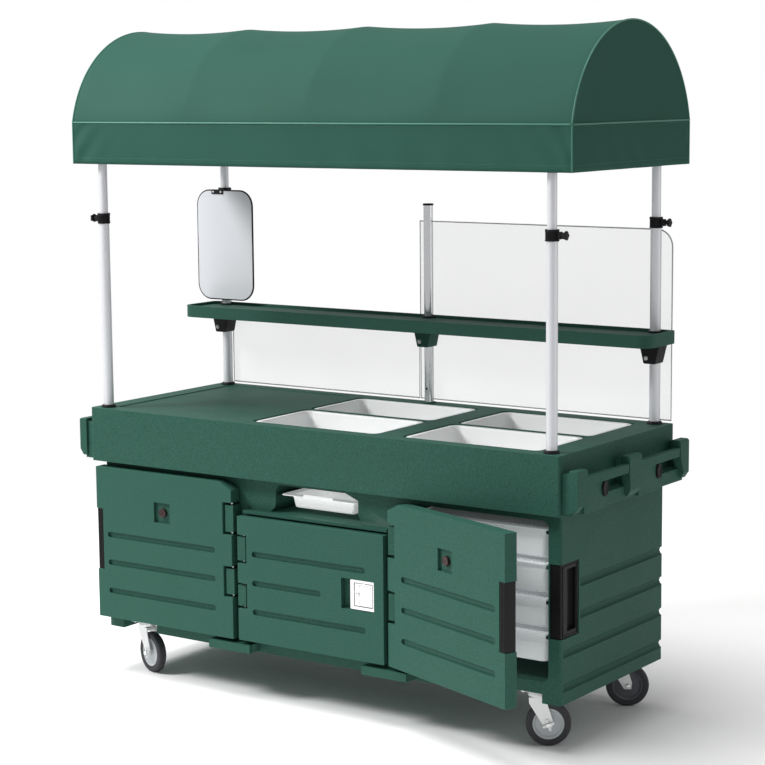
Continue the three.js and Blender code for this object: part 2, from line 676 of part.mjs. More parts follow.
function makeCasters() {
  for (const [name, sx, sy] of corners) {
    const caster = new THREE.Group();
    caster.position.set(sx * wheel.swivelX, sy * wheel.swivelY, 0);
    caster.rotation.z = THREE.MathUtils.degToRad(casterYawDeg[name]);
    cart.add(caster);
    const { radius, width, trail } = wheel;
    const legIn = width / 2 + 3;
    const legOut = legIn + 4;
    const legShape = outline([
      [trail - 13, radius - 12],
      [trail + 13, radius - 12],
      [trail + 15, radius + 12],
      [30, 150],
      [30, 169],
      [-30, 169],
      [-30, 150],
    ]);
    const sheet = cut(panel(legShape, -legOut, legOut), box(-200, 200, -legIn, legIn, 0, 158));
    const axle = crossRod("y", -legOut - 4, legOut + 4, trail, radius, 5, 12);
    piece(`caster_fork_${name}`, join(sheet, axle), zincPlate, caster);
    const profile = [
      [5.6, -legIn + 1],
      [15, -legIn + 1],
      [15, -width / 2 + 4],
      [52, -width / 2 + 4],
      [54, -width / 2],
      [radius - 6, -width / 2],
      [radius, -width / 2 + 6],
      [radius, width / 2 - 6],
      [radius - 6, width / 2],
      [54, width / 2],
      [52, width / 2 - 4],
      [15, width / 2 - 4],
      [15, legIn - 1],
      [5.6, legIn - 1],
      [5.6, -legIn + 1],
    ].map(([r, y]) => new THREE.Vector2(r, y));
    const tyre = solid(new THREE.LatheGeometry(profile, 20));
    piece(`caster_wheel_${name}`, tyre, tyreGrey, caster).position.set(trail, 0, radius);
    if (sy < 0) {
      // The brake lever: a flat cross on the axle's outer end.
      const { arm, half, face, back } = brakeCross;
      const lever = join(
        box(-arm, arm, -legOut - face, -legOut - back, -half, half),
        box(-half, half, -legOut - face, -legOut - back, -arm, arm),
      );
      piece(`brake_pedal_${name}`, lever, zincPlate, caster).position.set(trail, 0, radius);
    }
  }
}

makeDeck();
makeCabinet();
outerDoor("left", -1);
outerDoor("right", 1);
middleDoor();
hingePins();
makePans();
makePosts();
makeShelf();
makeShields();
makeBoard();
makeCanopy();
makeCasters();

export default cart;
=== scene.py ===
# Push vending cart: the looks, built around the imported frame. Everything is in metres.
import json
import math
import bmesh
import bpy
from mathutils import Matrix, Vector, noise

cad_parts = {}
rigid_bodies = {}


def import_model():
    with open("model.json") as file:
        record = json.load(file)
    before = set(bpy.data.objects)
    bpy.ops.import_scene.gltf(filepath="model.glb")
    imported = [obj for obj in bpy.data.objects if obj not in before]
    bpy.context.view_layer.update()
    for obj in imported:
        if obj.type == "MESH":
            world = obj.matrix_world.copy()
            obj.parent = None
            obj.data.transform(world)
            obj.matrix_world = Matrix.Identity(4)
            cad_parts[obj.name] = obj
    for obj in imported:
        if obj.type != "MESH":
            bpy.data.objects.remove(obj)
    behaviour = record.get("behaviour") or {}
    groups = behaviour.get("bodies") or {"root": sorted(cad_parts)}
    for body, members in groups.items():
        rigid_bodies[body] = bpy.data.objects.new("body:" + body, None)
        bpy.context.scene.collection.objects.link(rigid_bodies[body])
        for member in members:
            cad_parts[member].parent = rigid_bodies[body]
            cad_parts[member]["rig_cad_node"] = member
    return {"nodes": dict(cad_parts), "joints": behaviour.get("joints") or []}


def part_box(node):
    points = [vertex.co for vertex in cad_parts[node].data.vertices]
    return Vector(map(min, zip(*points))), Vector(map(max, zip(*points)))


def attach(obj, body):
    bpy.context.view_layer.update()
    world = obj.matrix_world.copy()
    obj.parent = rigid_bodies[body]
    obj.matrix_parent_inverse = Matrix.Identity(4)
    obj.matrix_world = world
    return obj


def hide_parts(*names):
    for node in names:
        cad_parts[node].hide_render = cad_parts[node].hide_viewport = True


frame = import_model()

for spare in [o for o in bpy.data.objects if "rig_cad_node" not in o and not o.name.startswith("body:")]:
    bpy.data.objects.remove(spare)
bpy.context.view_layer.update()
nodes = frame["nodes"]
scene = bpy.context.scene


# wraps a socket, so that an expression on values adds its Math nodes
class Wire:
    def __init__(self, tree, socket=None):
        self.tree = tree
        self.socket = socket

    def node(self, kind, settings=None, inputs=None, output=0):
        made = self.tree.nodes.new(kind)
        for name, value in (settings or {}).items():
            if name == "stops":
                setStops(made.color_ramp, value)
            else:
                setattr(made, name, value)
        for name, value in (inputs or {}).items():
            if isinstance(value, Wire):
                self.tree.links.new(value.socket, made.inputs[name])
            else:
                made.inputs[name].default_value = value
        return Wire(self.tree, made.outputs[output])

    def geometry(self, kind, inputs=None):
        return self.node("GeometryNode" + kind, {}, inputs)

    def vector(self, parts):
        return self.node("ShaderNodeCombineXYZ", {}, parts)

    def maths(self, operation, a, b):
        return self.node("ShaderNodeMath", {"operation": operation}, {0: a, 1: b})

    def __add__(self, other):
        return self.maths("ADD", self, other)

    def __radd__(self, other):
        return self.maths("ADD", other, self)

    def __sub__(self, other):
        return self.maths("SUBTRACT", self, other)

    def __rsub__(self, other):
        return self.maths("SUBTRACT", other, self)

    def __mul__(self, other):
        return self.maths("MULTIPLY", self, other)

    def __rmul__(self, other):
        return self.maths("MULTIPLY", other, self)

    def __truediv__(self, other):
        return self.maths("DIVIDE", self, other)


def setStops(ramp, stops):
    while len(ramp.elements) > 1:
        ramp.elements.remove(ramp.elements[0])
    ramp.elements[0].position, ramp.elements[0].color = stops[0]
    for place, colour in stops[1:]:
        ramp.elements.new(place).color = colour


def paint(code, lift=1.0):
    values = [int(code[i:i + 2], 16) / 255 for i in (1, 3, 5)]
    linear = [v / 12.92 if v <= 0.04045 else ((v + 0.055) / 1.055) ** 2.4 for v in values]
    return (*[min(1.0, v * lift) for v in linear], 1.0)


def newMaterial(name, build, **fixed):
    made = bpy.data.materials.new(name)
    made.use_nodes = True
    tree = made.node_tree
    shader = tree.nodes["Principled BSDF"]
    for socket, value in fixed.items():
        shader.inputs[socket.replace("_", " ")].default_value = value
    for socket, value in build(Wire(tree)).items():
        tree.links.new(value.socket, shader.inputs[socket])
    return made


def objectPlace(wire, scale=(1, 1, 1)):
    place = wire.node("ShaderNodeTexCoord", output="Object")
    return wire.node("ShaderNodeMapping", {}, {"Vector": place, "Scale": scale})


def noiseOn(wire, place, scale, detail=2.0, roughness=0.5):
    return wire.node("ShaderNodeTexNoise", {},
                     {"Vector": place, "Scale": scale, "Detail": detail, "Roughness": roughness})


def mixColour(wire, factor, a, b, blend="MIX"):
    settings = {"data_type": "RGBA", "blend_type": blend}
    return wire.node("ShaderNodeMix", settings, {0: factor, 6: a, 7: b}, output=2)


def bumpOf(wire, height, strength, distance):
    return wire.node("ShaderNodeBump", {}, {"Height": height, "Strength": strength, "Distance": distance})


mouldedLook = {
    "shell": "#2b5448", "door": "#2e584c", "speckScale": 260.0, "speckShade": 0.72, "mottleScale": 7.0,
    "roughness": 0.52, "grain": 0.0006,
}


# rotationally moulded polyethylene: fine dark and pale specks, cloudy mottling, a pebbled skin
def mouldedPlastic(name, colour):
    base = paint(colour)
    dark = paint(colour, mouldedLook["speckShade"])
    pale = paint(colour, 1.28)

    def build(wire):
        place = objectPlace(wire)
        specks = noiseOn(wire, place, mouldedLook["speckScale"], 1.5)
        clouds = noiseOn(wire, place, mouldedLook["mottleScale"], 3.0)
        speckled = wire.node("ShaderNodeValToRGB",
            {"stops": [(0.34, dark), (0.46, base), (0.6, base), (0.72, pale)]}, {"Fac": specks})
        mottled = mixColour(wire, clouds * 0.35, speckled,
                            mixColour(wire, 1.0, speckled, (0.82, 0.86, 0.84, 1), "MULTIPLY"))
        height = specks * 0.6 + noiseOn(wire, place, 900.0) * 0.4
        return {
            "Base Color": mottled,
            "Roughness": mouldedLook["roughness"] + clouds * 0.12,
            "Normal": bumpOf(wire, height, 0.35, mouldedLook["grain"]),
        }

    return newMaterial(name, build, Specular_IOR_Level=0.17)


def grainedPlastic(name, colour, roughness=0.5, scale=500.0, grain=0.0004, shine=0.3):
    base, pale = paint(colour), paint(colour, 1.35)

    def build(wire):
        place = objectPlace(wire)
        fine = noiseOn(wire, place, scale)
        broad = noiseOn(wire, place, 11.0, 3.0)
        return {
            "Base Color": mixColour(wire, broad * 0.6, base, pale),
            "Roughness": roughness - 0.08 + broad * 0.16,
            "Normal": bumpOf(wire, fine, 0.3, grain),
        }

    return newMaterial(name, build, Specular_IOR_Level=shine)


# smooth plastic; its last argument makes it give off light in its own colour though it is no lamp: painted
# light that brightens it where it sits in shade
def smoothPlastic(name, colour, roughness=0.35, shade=0.9, paintedGlow=0.0):
    base, dull = paint(colour), paint(colour, shade)

    def build(wire):
        place = objectPlace(wire)
        broad = noiseOn(wire, place, 6.0, 3.0)
        return {
            "Base Color": mixColour(wire, broad, dull, base),
            "Roughness": roughness + broad * 0.12,
            "Normal": bumpOf(wire, noiseOn(wire, place, 120.0), 0.12, 0.0005),
        }

    return newMaterial(name, build, Emission_Color=base, Emission_Strength=paintedGlow)


# metal with a fine grain drawn out along one axis
def drawnMetal(name, colour, roughness, along, spread=0.1, metal=1.0):
    stretch = [(900.0, 900.0, 9.0), (9.0, 900.0, 900.0),
               (900.0, 9.0, 900.0)][("z", "x", "y").index(along)]
    base, dull = paint(colour), paint(colour, 0.8)

    def build(wire):
        streaks = noiseOn(wire, objectPlace(wire, stretch), 1.0, 3.0)
        smears = noiseOn(wire, objectPlace(wire), 14.0, 3.0)
        return {
            "Base Color": mixColour(wire, streaks * 0.7, base, dull),
            "Roughness": roughness + streaks * spread + smears * spread,
            "Normal": bumpOf(wire, streaks, 0.08, 0.0004),
        }

    return newMaterial(name, build, Metallic=metal)


clothLook = {"colour": "#2a574b", "shadow": "#244d41", "weavePitch": 0.0022, "roughness": 0.66}


# coated woven cloth: a plain weave of crossing threads, with slow cloudy tone
def canopyCloth(name):
    base, dark = paint(clothLook["colour"]), paint(clothLook["shadow"])
    turns = 2 * math.pi / clothLook["weavePitch"]

    def build(wire):
        uv = wire.node("ShaderNodeTexCoord", output="UV")
        split = wire.node("ShaderNodeSeparateXYZ", {}, {0: uv})
        across = Wire(wire.tree, split.socket.node.outputs[1])
        warp = wire.maths("SINE", split * turns, 0.0)
        weft = wire.maths("SINE", across * turns, 0.0)
        weave = warp * weft * 0.5 + 0.5
        clouds = noiseOn(wire, objectPlace(wire), 3.2, 4.0)
        return {
            "Base Color": mixColour(wire, clouds * 0.7 + weave * 0.12, base, dark),
            "Roughness": clothLook["roughness"] + weave * 0.1,
            "Normal": bumpOf(wire, weave, 0.25, 0.0003),
        }

    return newMaterial(name, build, Specular_IOR_Level=0.17)


def clearSheetLook(name, colour, alpha, roughness):
    def build(wire):
        place = objectPlace(wire)
        haze = noiseOn(wire, place, 5.0, 3.0)
        return {
            "Base Color": mixColour(wire, haze, paint(colour), paint(colour, 0.94)),
            "Roughness": roughness + haze * 0.03,
            "Alpha": alpha + haze * 0.03,
        }

    return newMaterial(name, build, IOR=1.49)


def tyreLook(name, colour):
    base, dusty = paint(colour), paint(colour, 1.7)

    def build(wire):
        place = objectPlace(wire)
        dust = noiseOn(wire, place, 30.0, 4.0)
        return {
            "Base Color": mixColour(wire, dust * 0.5, base, dusty),
            "Roughness": 0.6 + dust * 0.2,
            "Normal": bumpOf(wire, noiseOn(wire, place, 420.0), 0.3, 0.0006),
        }

    return newMaterial(name, build)


shellGreen = mouldedPlastic("shell_green", mouldedLook["shell"])
doorGreen = mouldedPlastic("door_green", mouldedLook["door"])
blackPlastic = grainedPlastic("black_plastic", "#111012", 0.5, shine=0.2)
panWhite = smoothPlastic("pan_white", "#f4f5f5", 0.3, 0.97)
# the tray and its lip glow faintly though they are no lamp: painted light that brightens them in the shadow
# under the deck
trayWhitePaintedGlow = smoothPlastic("tray_white_painted_light", "#f4f5f5", 0.3, 0.97, 0.3)
# the food box bodies and lids glow a little though they are no lamp: painted light that brightens them in
# the shade inside the cabinet
boxWhitePaintedGlow = smoothPlastic("food_box_white", "#eef2f4", 0.28, 0.94, 0.09)
boardWhite = smoothPlastic("board_white", "#d6d8dc", 0.25, 0.97)
satinMetal = drawnMetal("satin_aluminium", "#e9eaee", 0.3, "z", 0.1, 0.4)
hoopMetal = drawnMetal("hoop_aluminium", "#c9ccd0", 0.3, "x")
chromeMetal = drawnMetal("polished_steel", "#dfe0e3", 0.1, "z", 0.05, 0.85)
zincMetal = drawnMetal("zinc_plate", "#eceded", 0.3, "z", 0.1, 0.45)
latchSteel = drawnMetal("latch_steel", "#eceded", 0.2, "x", 0.06)
clothGreen = canopyCloth("canopy_cloth")
# piping and stitches: a green lighter than the cloth, its own colour with a painted highlight along the
# rounded bead
pipingGreenPaintedHighlight = grainedPlastic("piping_green_painted_highlight", "#3f7564", 0.35, 900.0, 0.0002)
clearPlastic = clearSheetLook("clear_sheet", "#eef3f3", 0.1, 0.04)
clearEdge = clearSheetLook("clear_edge", "#8f9a9b", 0.62, 0.15)
tyreDark = tyreLook("tyre_dark", "#2b2b2f")
coreGrey = grainedPlastic("wheel_core_grey", "#b4b8bb", 0.4)
coreDark = grainedPlastic("wheel_core_dark", "#55585d", 0.45)
lockBrown = grainedPlastic("lock_brown", "#33211f", 0.3)
boltSteel = drawnMetal("bolt_steel", "#e3e4e6", 0.22, "z")
boltWhite = smoothPlastic("bolt_white", "#e8e8e6", 0.4)
print("finishes ready")


def box(name):
    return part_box(name)


def middle(name):
    low, high = box(name)
    return (low + high) / 2


# the middle and half widths, seen from above, of the space between two corners
def plan(low, high):
    return (low.x + high.x) / 2, (low.y + high.y) / 2, (high.x - low.x) / 2, (high.y - low.y) / 2


def newPiece(name, mesh, material, body, replaces=(), smooth=True):
    mesh.name = name
    mesh.materials.clear()
    mesh.materials.append(material)
    if smooth:
        mesh.polygons.foreach_set("use_smooth", [True] * len(mesh.polygons))
    made = bpy.data.objects.new(name, mesh)
    scene.collection.objects.link(made)
    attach(made, body)
    if replaces:
        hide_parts(*replaces)
    return made


def asMesh(shape):
    mesh = bpy.data.meshes.new("shape")
    shape.to_mesh(mesh)
    shape.free()
    return mesh


# runs modifiers on a mesh and gives back the plain result
def worked(mesh, *modifiers):
    holder = bpy.data.objects.new("holder", mesh)
    scene.collection.objects.link(holder)
    for kind, settings in modifiers:
        made = holder.modifiers.new(kind.lower(), kind)
        for name, value in settings.items():
            setattr(made, name, value)
    bpy.context.view_layer.update()
    done = bpy.data.meshes.new_from_object(holder.evaluated_get(bpy.context.evaluated_depsgraph_get()))
    bpy.data.objects.remove(holder)
    return done


# smooth faces whose flat neighbours stay flat
def evenShading(mesh, sharpest=50):
    mesh.polygons.foreach_set("use_smooth", [True] * len(mesh.polygons))
    mesh.set_sharp_from_angle(angle=math.radians(sharpest))
    return worked(mesh, ("WEIGHTED_NORMAL", {"keep_sharp": True, "weight": 50}))


def shaded(shape, sharpest=50):
    return evenShading(asMesh(shape), sharpest)


# joins rings of points into a skin, with both ends closed or the last ring joined to the first
def skin(shape, rings, closedRings=True, loop=False, caps=True):
    made = [[shape.verts.new(p) for p in ring] for ring in rings]
    count = len(rings[0])
    pairs = list(zip(made, made[1:])) + ([(made[-1], made[0])] if loop else [])
    for a, b in pairs:
        for i in range(count if closedRings else count - 1):
            j = (i + 1) % count
            shape.faces.new((a[i], a[j], b[j], b[i]))
    if caps and not loop:
        shape.faces.new(list(reversed(made[0])))
        shape.faces.new(made[-1])
    bmesh.ops.recalc_face_normals(shape, faces=shape.faces)


def roundedRing(x, y, z, halfX, halfY, radius, steps=8):
    ring = []
    for turn, sx, sy in ((0, 1, 1), (1, -1, 1), (2, -1, -1), (3, 1, -1)):
        for i in range(steps + 1):
            angle = (turn + i / steps) * math.pi / 2
            ring.append((
                x + sx * (halfX - radius) + radius * math.cos(angle),
                y + sy * (halfY - radius) + radius * math.sin(angle),
                z,
            ))
    return ring


# turns a profile of (radius, height) round a line along Z; a closed profile makes a tube
def turned(profile, centre=(0, 0, 0), steps=48, closed=False):
    shape = bmesh.new()
    rings = []
    for radius, height in profile:
        ring = []
        for i in range(steps):
            angle = 2 * math.pi * i / steps
            offset = (radius * math.cos(angle), radius * math.sin(angle), height)
            ring.append(Vector(centre) + Vector(offset))
        rings.append(ring)
    skin(shape, rings, loop=closed)
    return shape


# a round tube or bar that follows points
def bar(shape, points, radius, sides=12, loop=False):
    points = [Vector(p) for p in points]
    rings = []
    count = len(points)
    last = None
    for i, here in enumerate(points):
        before = points[i - 1] if i or loop else here
        after = points[(i + 1) % count] if i < count - 1 or loop else here
        along = (after - before).normalized()
        side = last if last is not None else along.orthogonal()
        side = (side - along * side.dot(along)).normalized()
        last = side
        across = along.cross(side)
        turns = [2 * math.pi * k / sides for k in range(sides)]
        rings.append([here + side * (radius * math.cos(t)) + across * (radius * math.sin(t)) for t in turns])
    skin(shape, rings, loop=loop)


def block(shape, low, high):
    made = bmesh.ops.create_cube(shape, size=1.0)["verts"]
    size, centre = Vector(high) - Vector(low), (Vector(high) + Vector(low)) / 2
    for v in made:
        v.co = Vector((v.co.x * size.x, v.co.y * size.y, v.co.z * size.z)) + centre
    return made


# a copy of a node's solid, cleaned of its triangles, whose edges are rounded in turns
def rounded(node, rounds, sharpShading=50):
    shape = bmesh.new()
    shape.from_mesh(nodes[node].data)
    bmesh.ops.remove_doubles(shape, verts=shape.verts, dist=2e-5)
    bmesh.ops.dissolve_limit(shape, angle_limit=math.radians(1), verts=shape.verts, edges=shape.edges)
    for width, segments, sharpest, pick in rounds:
        shape.edges.ensure_lookup_table()
        edges = [
            e for e in shape.edges
            if len(e.link_faces) == 2 and e.calc_face_angle(0) > math.radians(sharpest) and pick(e)
        ]
        if edges:
            bmesh.ops.bevel(shape, geom=edges, offset=width, offset_type="OFFSET", segments=segments,
                            profile=0.5, affect="EDGES", clamp_overlap=True)
    bmesh.ops.dissolve_degenerate(shape, dist=1e-6, edges=shape.edges)
    return shaded(shape, sharpShading)


def centreOfEdge(e):
    return (e.verts[0].co + e.verts[1].co) / 2


def anyEdge(e):
    return True


def newTree(name, *sockets):
    tree = bpy.data.node_groups.new(name, "GeometryNodeTree")
    tree.interface.new_socket("Geometry", in_out="INPUT", socket_type="NodeSocketGeometry")
    tree.interface.new_socket("Geometry", in_out="OUTPUT", socket_type="NodeSocketGeometry")
    for label, kind in sockets:
        tree.interface.new_socket(label, in_out="INPUT", socket_type="NodeSocket" + kind)
    given = tree.nodes.new("NodeGroupInput")
    return tree, {s.name: Wire(tree, s) for s in given.outputs if s.name}


def closeTree(tree, geometry, material):
    real = geometry.node("GeometryNodeRealizeInstances", {}, {0: geometry})
    done = geometry.node("GeometryNodeSetMaterial", {}, {"Geometry": real, "Material": material})
    out = tree.nodes.new("NodeGroupOutput")
    tree.links.new(done.socket, out.inputs[0])


# round-headed bolts with a washer, one on each point, turned to face one way
def boltTree():
    tree, given = newTree("bolts", ("Head", "Float"), ("Height", "Float"), ("Turn", "Vector"),
        ("Material", "Material"))
    start = given["Geometry"]
    washer = start.geometry("MeshCylinder",
        {"Vertices": 20, "Radius": given["Head"] * 1.35, "Depth": given["Height"] * 0.3})
    head = start.geometry("MeshCylinder", {"Vertices": 6, "Radius": given["Head"],
        "Depth": given["Height"]})
    dome = start.geometry("MeshUVSphere", {"Segments": 16, "Rings": 8, "Radius": given["Head"] * 0.8})
    low = start.vector({2: given["Height"] * 0.15})
    mid = start.vector({2: given["Height"] * 0.5})
    high = start.vector({2: given["Height"] * 0.95})
    parts = start.geometry("JoinGeometry")
    placed = [
        start.geometry("Transform", {"Geometry": washer, "Translation": low}),
        start.geometry("Transform", {"Geometry": head, "Translation": mid}),
        start.geometry("Transform", {"Geometry": dome, "Translation": high, "Scale": (1, 1, 0.35)}),
    ]
    for part in placed:
        tree.links.new(part.socket, parts.socket.node.inputs[0])
    bolts = start.geometry("InstanceOnPoints",
        {"Points": start, "Instance": parts, "Rotation": given["Turn"]})
    closeTree(tree, bolts, given["Material"])
    return tree


# half-round ribs side by side, such as those across a lid
def ribTree():
    tree, given = newTree(
        "ribs", ("Count", "Int"), ("Start", "Vector"), ("Step", "Vector"), ("Length", "Float"),
        ("Radius", "Float"),
        ("Squash", "Vector"), ("Turn", "Vector"), ("Material", "Material"))
    start = given["Geometry"]
    line = start.geometry("MeshLine", {"Count": given["Count"], "Start Location": given["Start"],
        "Offset": given["Step"]})
    rib = start.geometry("MeshCylinder", {"Vertices": 10, "Radius": given["Radius"],
        "Depth": given["Length"]})
    flat = start.geometry("Transform", {"Geometry": rib, "Scale": given["Squash"]})
    ribs = start.geometry("InstanceOnPoints",
        {"Points": line, "Instance": flat, "Rotation": given["Turn"]})
    closeTree(tree, ribs, given["Material"])
    return tree


# small bars stood round a ring, such as the grips of a collar
def crownTree():
    tree, given = newTree("crown", ("Count", "Int"), ("Radius", "Float"), ("Centre", "Vector"),
        ("Bar", "Vector"), ("Material", "Material"))
    start = given["Geometry"]
    circle = start.geometry("MeshCircle", {"Vertices": given["Count"], "Radius": given["Radius"]})
    moved = start.geometry("Transform", {"Geometry": circle, "Translation": given["Centre"]})
    tooth = start.geometry("MeshCube", {"Size": given["Bar"]})
    index = start.geometry("InputIndex")
    angle = index / given["Count"] * (2 * math.pi)
    turn = start.vector({2: angle})
    teeth = start.geometry("InstanceOnPoints", {"Points": moved, "Instance": tooth, "Rotation": turn})
    closeTree(tree, teeth, given["Material"])
    return tree


# stitches along a line
def stitchTree():
    tree, given = newTree("stitches", ("Spacing", "Float"), ("Length", "Float"), ("Width", "Float"),
        ("Material", "Material"))
    start = given["Geometry"]
    line = start.geometry("MeshToCurve", {0: start})
    spaced = start.node("GeometryNodeResampleCurve", {"mode": "LENGTH"},
                        {"Curve": line, "Length": given["Spacing"]})
    tangent = start.geometry("InputTangent")
    turn = start.node("FunctionNodeAlignRotationToVector", {"axis": "X"}, {"Vector": tangent})
    thread = start.geometry("MeshUVSphere", {"Segments": 6, "Rings": 4, "Radius": 0.5})
    size = start.vector({0: given["Length"], 1: given["Width"], 2: given["Width"]})
    stitches = start.geometry("InstanceOnPoints",
        {"Points": spaced, "Instance": thread, "Rotation": turn, "Scale": size})
    closeTree(tree, stitches, given["Material"])
    return tree


trees = {"bolts": boltTree(), "ribs": ribTree(), "crown": crownTree(), "stitches": stitchTree()}


# grows a tree's pieces on points, or on lines of points, and keeps them as a plain mesh
def grown(name, tree, points, body, material, slot=None, lines=False, **given):
    start = bmesh.new()
    for line in points if lines else [points]:
        verts = [start.verts.new(p) for p in line]
        if lines:
            for a, b in zip(verts, verts[1:]):
                start.edges.new((a, b))
    host = bpy.data.objects.new("host", asMesh(start))
    scene.collection.objects.link(host)
    made = host.modifiers.new("grow", "NODES")
    made.node_group = trees[tree]
    for socket in trees[tree].interface.items_tree:
        if socket.in_out == "INPUT" and socket.name in given:
            made[socket.identifier] = given[socket.name]
        if socket.in_out == "INPUT" and socket.name == "Material":
            made[socket.identifier] = material
    bpy.context.view_layer.update()
    mesh = bpy.data.meshes.new_from_object(host.evaluated_get(bpy.context.evaluated_depsgraph_get()))
    bpy.data.objects.remove(host)
    mesh.polygons.foreach_set("use_smooth", [True] * len(mesh.polygons))
    mesh.set_sharp_from_angle(angle=math.radians(40))
    return newPiece(name, mesh, material, body, smooth=False)


print("tools ready")


viewpoint = {"place": (4.3922, -6.1204, 2.1913), "yaw": 34.92, "pitch": -7.96, "roll": -0.52,
             "lens": 100.7, "sensor": 36.0}
studio = {
    "ambient": 0.31, "backdrop": 1.0, "mirrored": 0.38, "sunStrength": 2.0, "sunSoftness": 30.0,
    "sunFrom": (-0.12, -0.16, 0.98),
    "keyPower": 380.0, "keySize": 1.8, "keyPlace": (-4.0, -3.5, 5.0),
    "fillPower": 22.0, "fillSize": 3.0, "fillPlace": (5.2, 1.5, 2.2),
    "floorSize": 16.0, "floorFade": (7.0, 18.0),
}


def makeCamera():
    data = bpy.data.cameras.new("camera")
    data.lens, data.sensor_width = viewpoint["lens"], viewpoint["sensor"]
    data.clip_end = 500.0
    camera = bpy.data.objects.new("camera", data)
    scene.collection.objects.link(camera)
    turn = (Matrix.Rotation(math.radians(viewpoint["yaw"]), 4, "Z")
            @ Matrix.Rotation(math.radians(90 + viewpoint["pitch"]), 4, "X")
            @ Matrix.Rotation(math.radians(viewpoint["roll"]), 4, "Z"))
    camera.matrix_world = Matrix.Translation(viewpoint["place"]) @ turn
    scene.camera = camera


# a pale floor that fades into the backdrop away from the cart
def floorLook(wire):
    place = wire.node("ShaderNodeTexCoord", output="Object")
    split = wire.node("ShaderNodeSeparateXYZ", {}, {0: place}).socket.node
    x, y = Wire(wire.tree, split.outputs[0]), Wire(wire.tree, split.outputs[1])
    near, far = studio["floorFade"]
    span = far - near
    shade = noiseOn(wire, place, 1.5)
    return {
        "Base Color": mixColour(wire, shade, paint("#fbfbfa"), paint("#fefefe")),
        "Alpha": wire.node("ShaderNodeMath", {"operation": "SUBTRACT", "use_clamp": True},
                           {0: far / span, 1: (x * x + y * y) / span}),
    }


def makeStudio():
    world = bpy.data.worlds.new("studio")
    world.use_nodes = True
    scene.world = world
    tree = world.node_tree
    seen = Wire(tree).node("ShaderNodeLightPath", output="Is Camera Ray")
    mirrored = Wire(tree).node("ShaderNodeLightPath", output="Is Glossy Ray")
    strength = (seen * (studio["backdrop"] - studio["ambient"])
                + mirrored * studio["mirrored"] + studio["ambient"])
    background = tree.nodes["Background"]
    background.inputs["Color"].default_value = (1, 1, 1, 1)
    tree.links.new(strength.socket, background.inputs["Strength"])
    sun = bpy.data.lights.new("sun", "SUN")
    sun.energy, sun.angle = studio["sunStrength"], math.radians(studio["sunSoftness"])
    sunLamp = bpy.data.objects.new("sun", sun)
    sunLamp.rotation_euler = Vector(studio["sunFrom"]).to_track_quat("Z", "Y").to_euler()
    scene.collection.objects.link(sunLamp)
    for name in ("key", "fill"):
        light = bpy.data.lights.new(name, "AREA")
        light.energy, light.size = studio[name + "Power"], studio[name + "Size"]
        lamp = bpy.data.objects.new(name, light)
        lamp.location = studio[name + "Place"]
        lamp.rotation_euler = (lamp.location - Vector((0, 0, 1.2))).to_track_quat("Z", "Y").to_euler()
        scene.collection.objects.link(lamp)
    shape = bmesh.new()
    half = studio["floorSize"] / 2
    shape.faces.new([shape.verts.new((x * half, y * half, 0)) for x,
                     y in ((-1, -1), (1, -1), (1, 1), (-1, 1))])
    floor = bpy.data.objects.new("floor", asMesh(shape))
    floor.data.materials.append(newMaterial("floor_pale", floorLook, Roughness=0.85,
        Specular_IOR_Level=0.1))
    scene.collection.objects.link(floor)
    scene.view_settings.view_transform = "Standard"


makeCamera()
makeStudio()
print("studio ready")

joints = {j["name"]: j for j in frame["joints"]}
cornerNames = ["front_left", "front_right", "rear_left", "rear_right"]


deckLook = {
    "outerRound": 0.004, "handleRound": 0.005, "wellRound": 0.003, "pastCabinet": 0.0225,
    "shortest": 0.0085,
    "capRadius": 0.027, "capSquash": 0.66, "capHeight": 0.879, "capFace": 1.0592,
    "capPlaces": (-0.197, 0.178),
}


def makeDeck():
    low, high = box("deck")
    wallX = box("cabinet")[1].x + deckLook["pastCabinet"]

    def outline(e):
        at = centreOfEdge(e)
        nearEdge = at.y < low.y + 0.02 or at.y > high.y - 0.02 or abs(at.x) > wallX - 0.02
        onBody = all(abs(v.co.x) < wallX + 0.001 for v in e.verts)
        return abs(at.x) < wallX + 0.0008 and nearEdge and onBody and e.is_convex

    def handle(e):
        return min(abs(v.co.x) for v in e.verts) > wallX + 0.004 and e.is_convex

    def wells(e):
        at = centreOfEdge(e)
        inside = abs(at.x) < wallX - 0.02 and low.y + 0.02 < at.y < high.y - 0.02
        return inside and e.calc_length() > deckLook["shortest"]

    mesh = rounded("deck", [
        (deckLook["outerRound"], 3, 30, outline),
        (deckLook["handleRound"], 3, 30, handle),
        (deckLook["wellRound"], 2, 30, wells),
    ])
    newPiece("deck_body", mesh, shellGreen, "cart", ["deck"])
    shape = bmesh.new()
    r = deckLook["capRadius"]
    middleY = (low.y + high.y) / 2
    for side in (-1, 1):
        for y in deckLook["capPlaces"]:
            cap = turned([(0.0, 0.0), (r, 0.0), (r, 0.005), (r - 0.004, 0.008), (r - 0.008, 0.006),
                          (0.0, 0.0045)], steps=32)
            place = Matrix.Translation((side * deckLook["capFace"], middleY + y, deckLook["capHeight"]))
            place = place @ Matrix.Diagonal((1.0, deckLook["capSquash"], 1.0, 1.0))
            bmesh.ops.transform(cap, matrix=place @ Matrix.Rotation(side * math.pi / 2, 4, "Y"),
                                verts=cap.verts)
            mesh = asMesh(cap)
            shape.from_mesh(mesh)
    newPiece("handle_caps", shaded(shape, 40), blackPlastic, "cart")


makeDeck()
print("deck ready")


cabinetLook = {"bumperDepth": 0.055, "cornerRound": 0.012, "edgeRound": 0.0035, "sharpShading": 28}


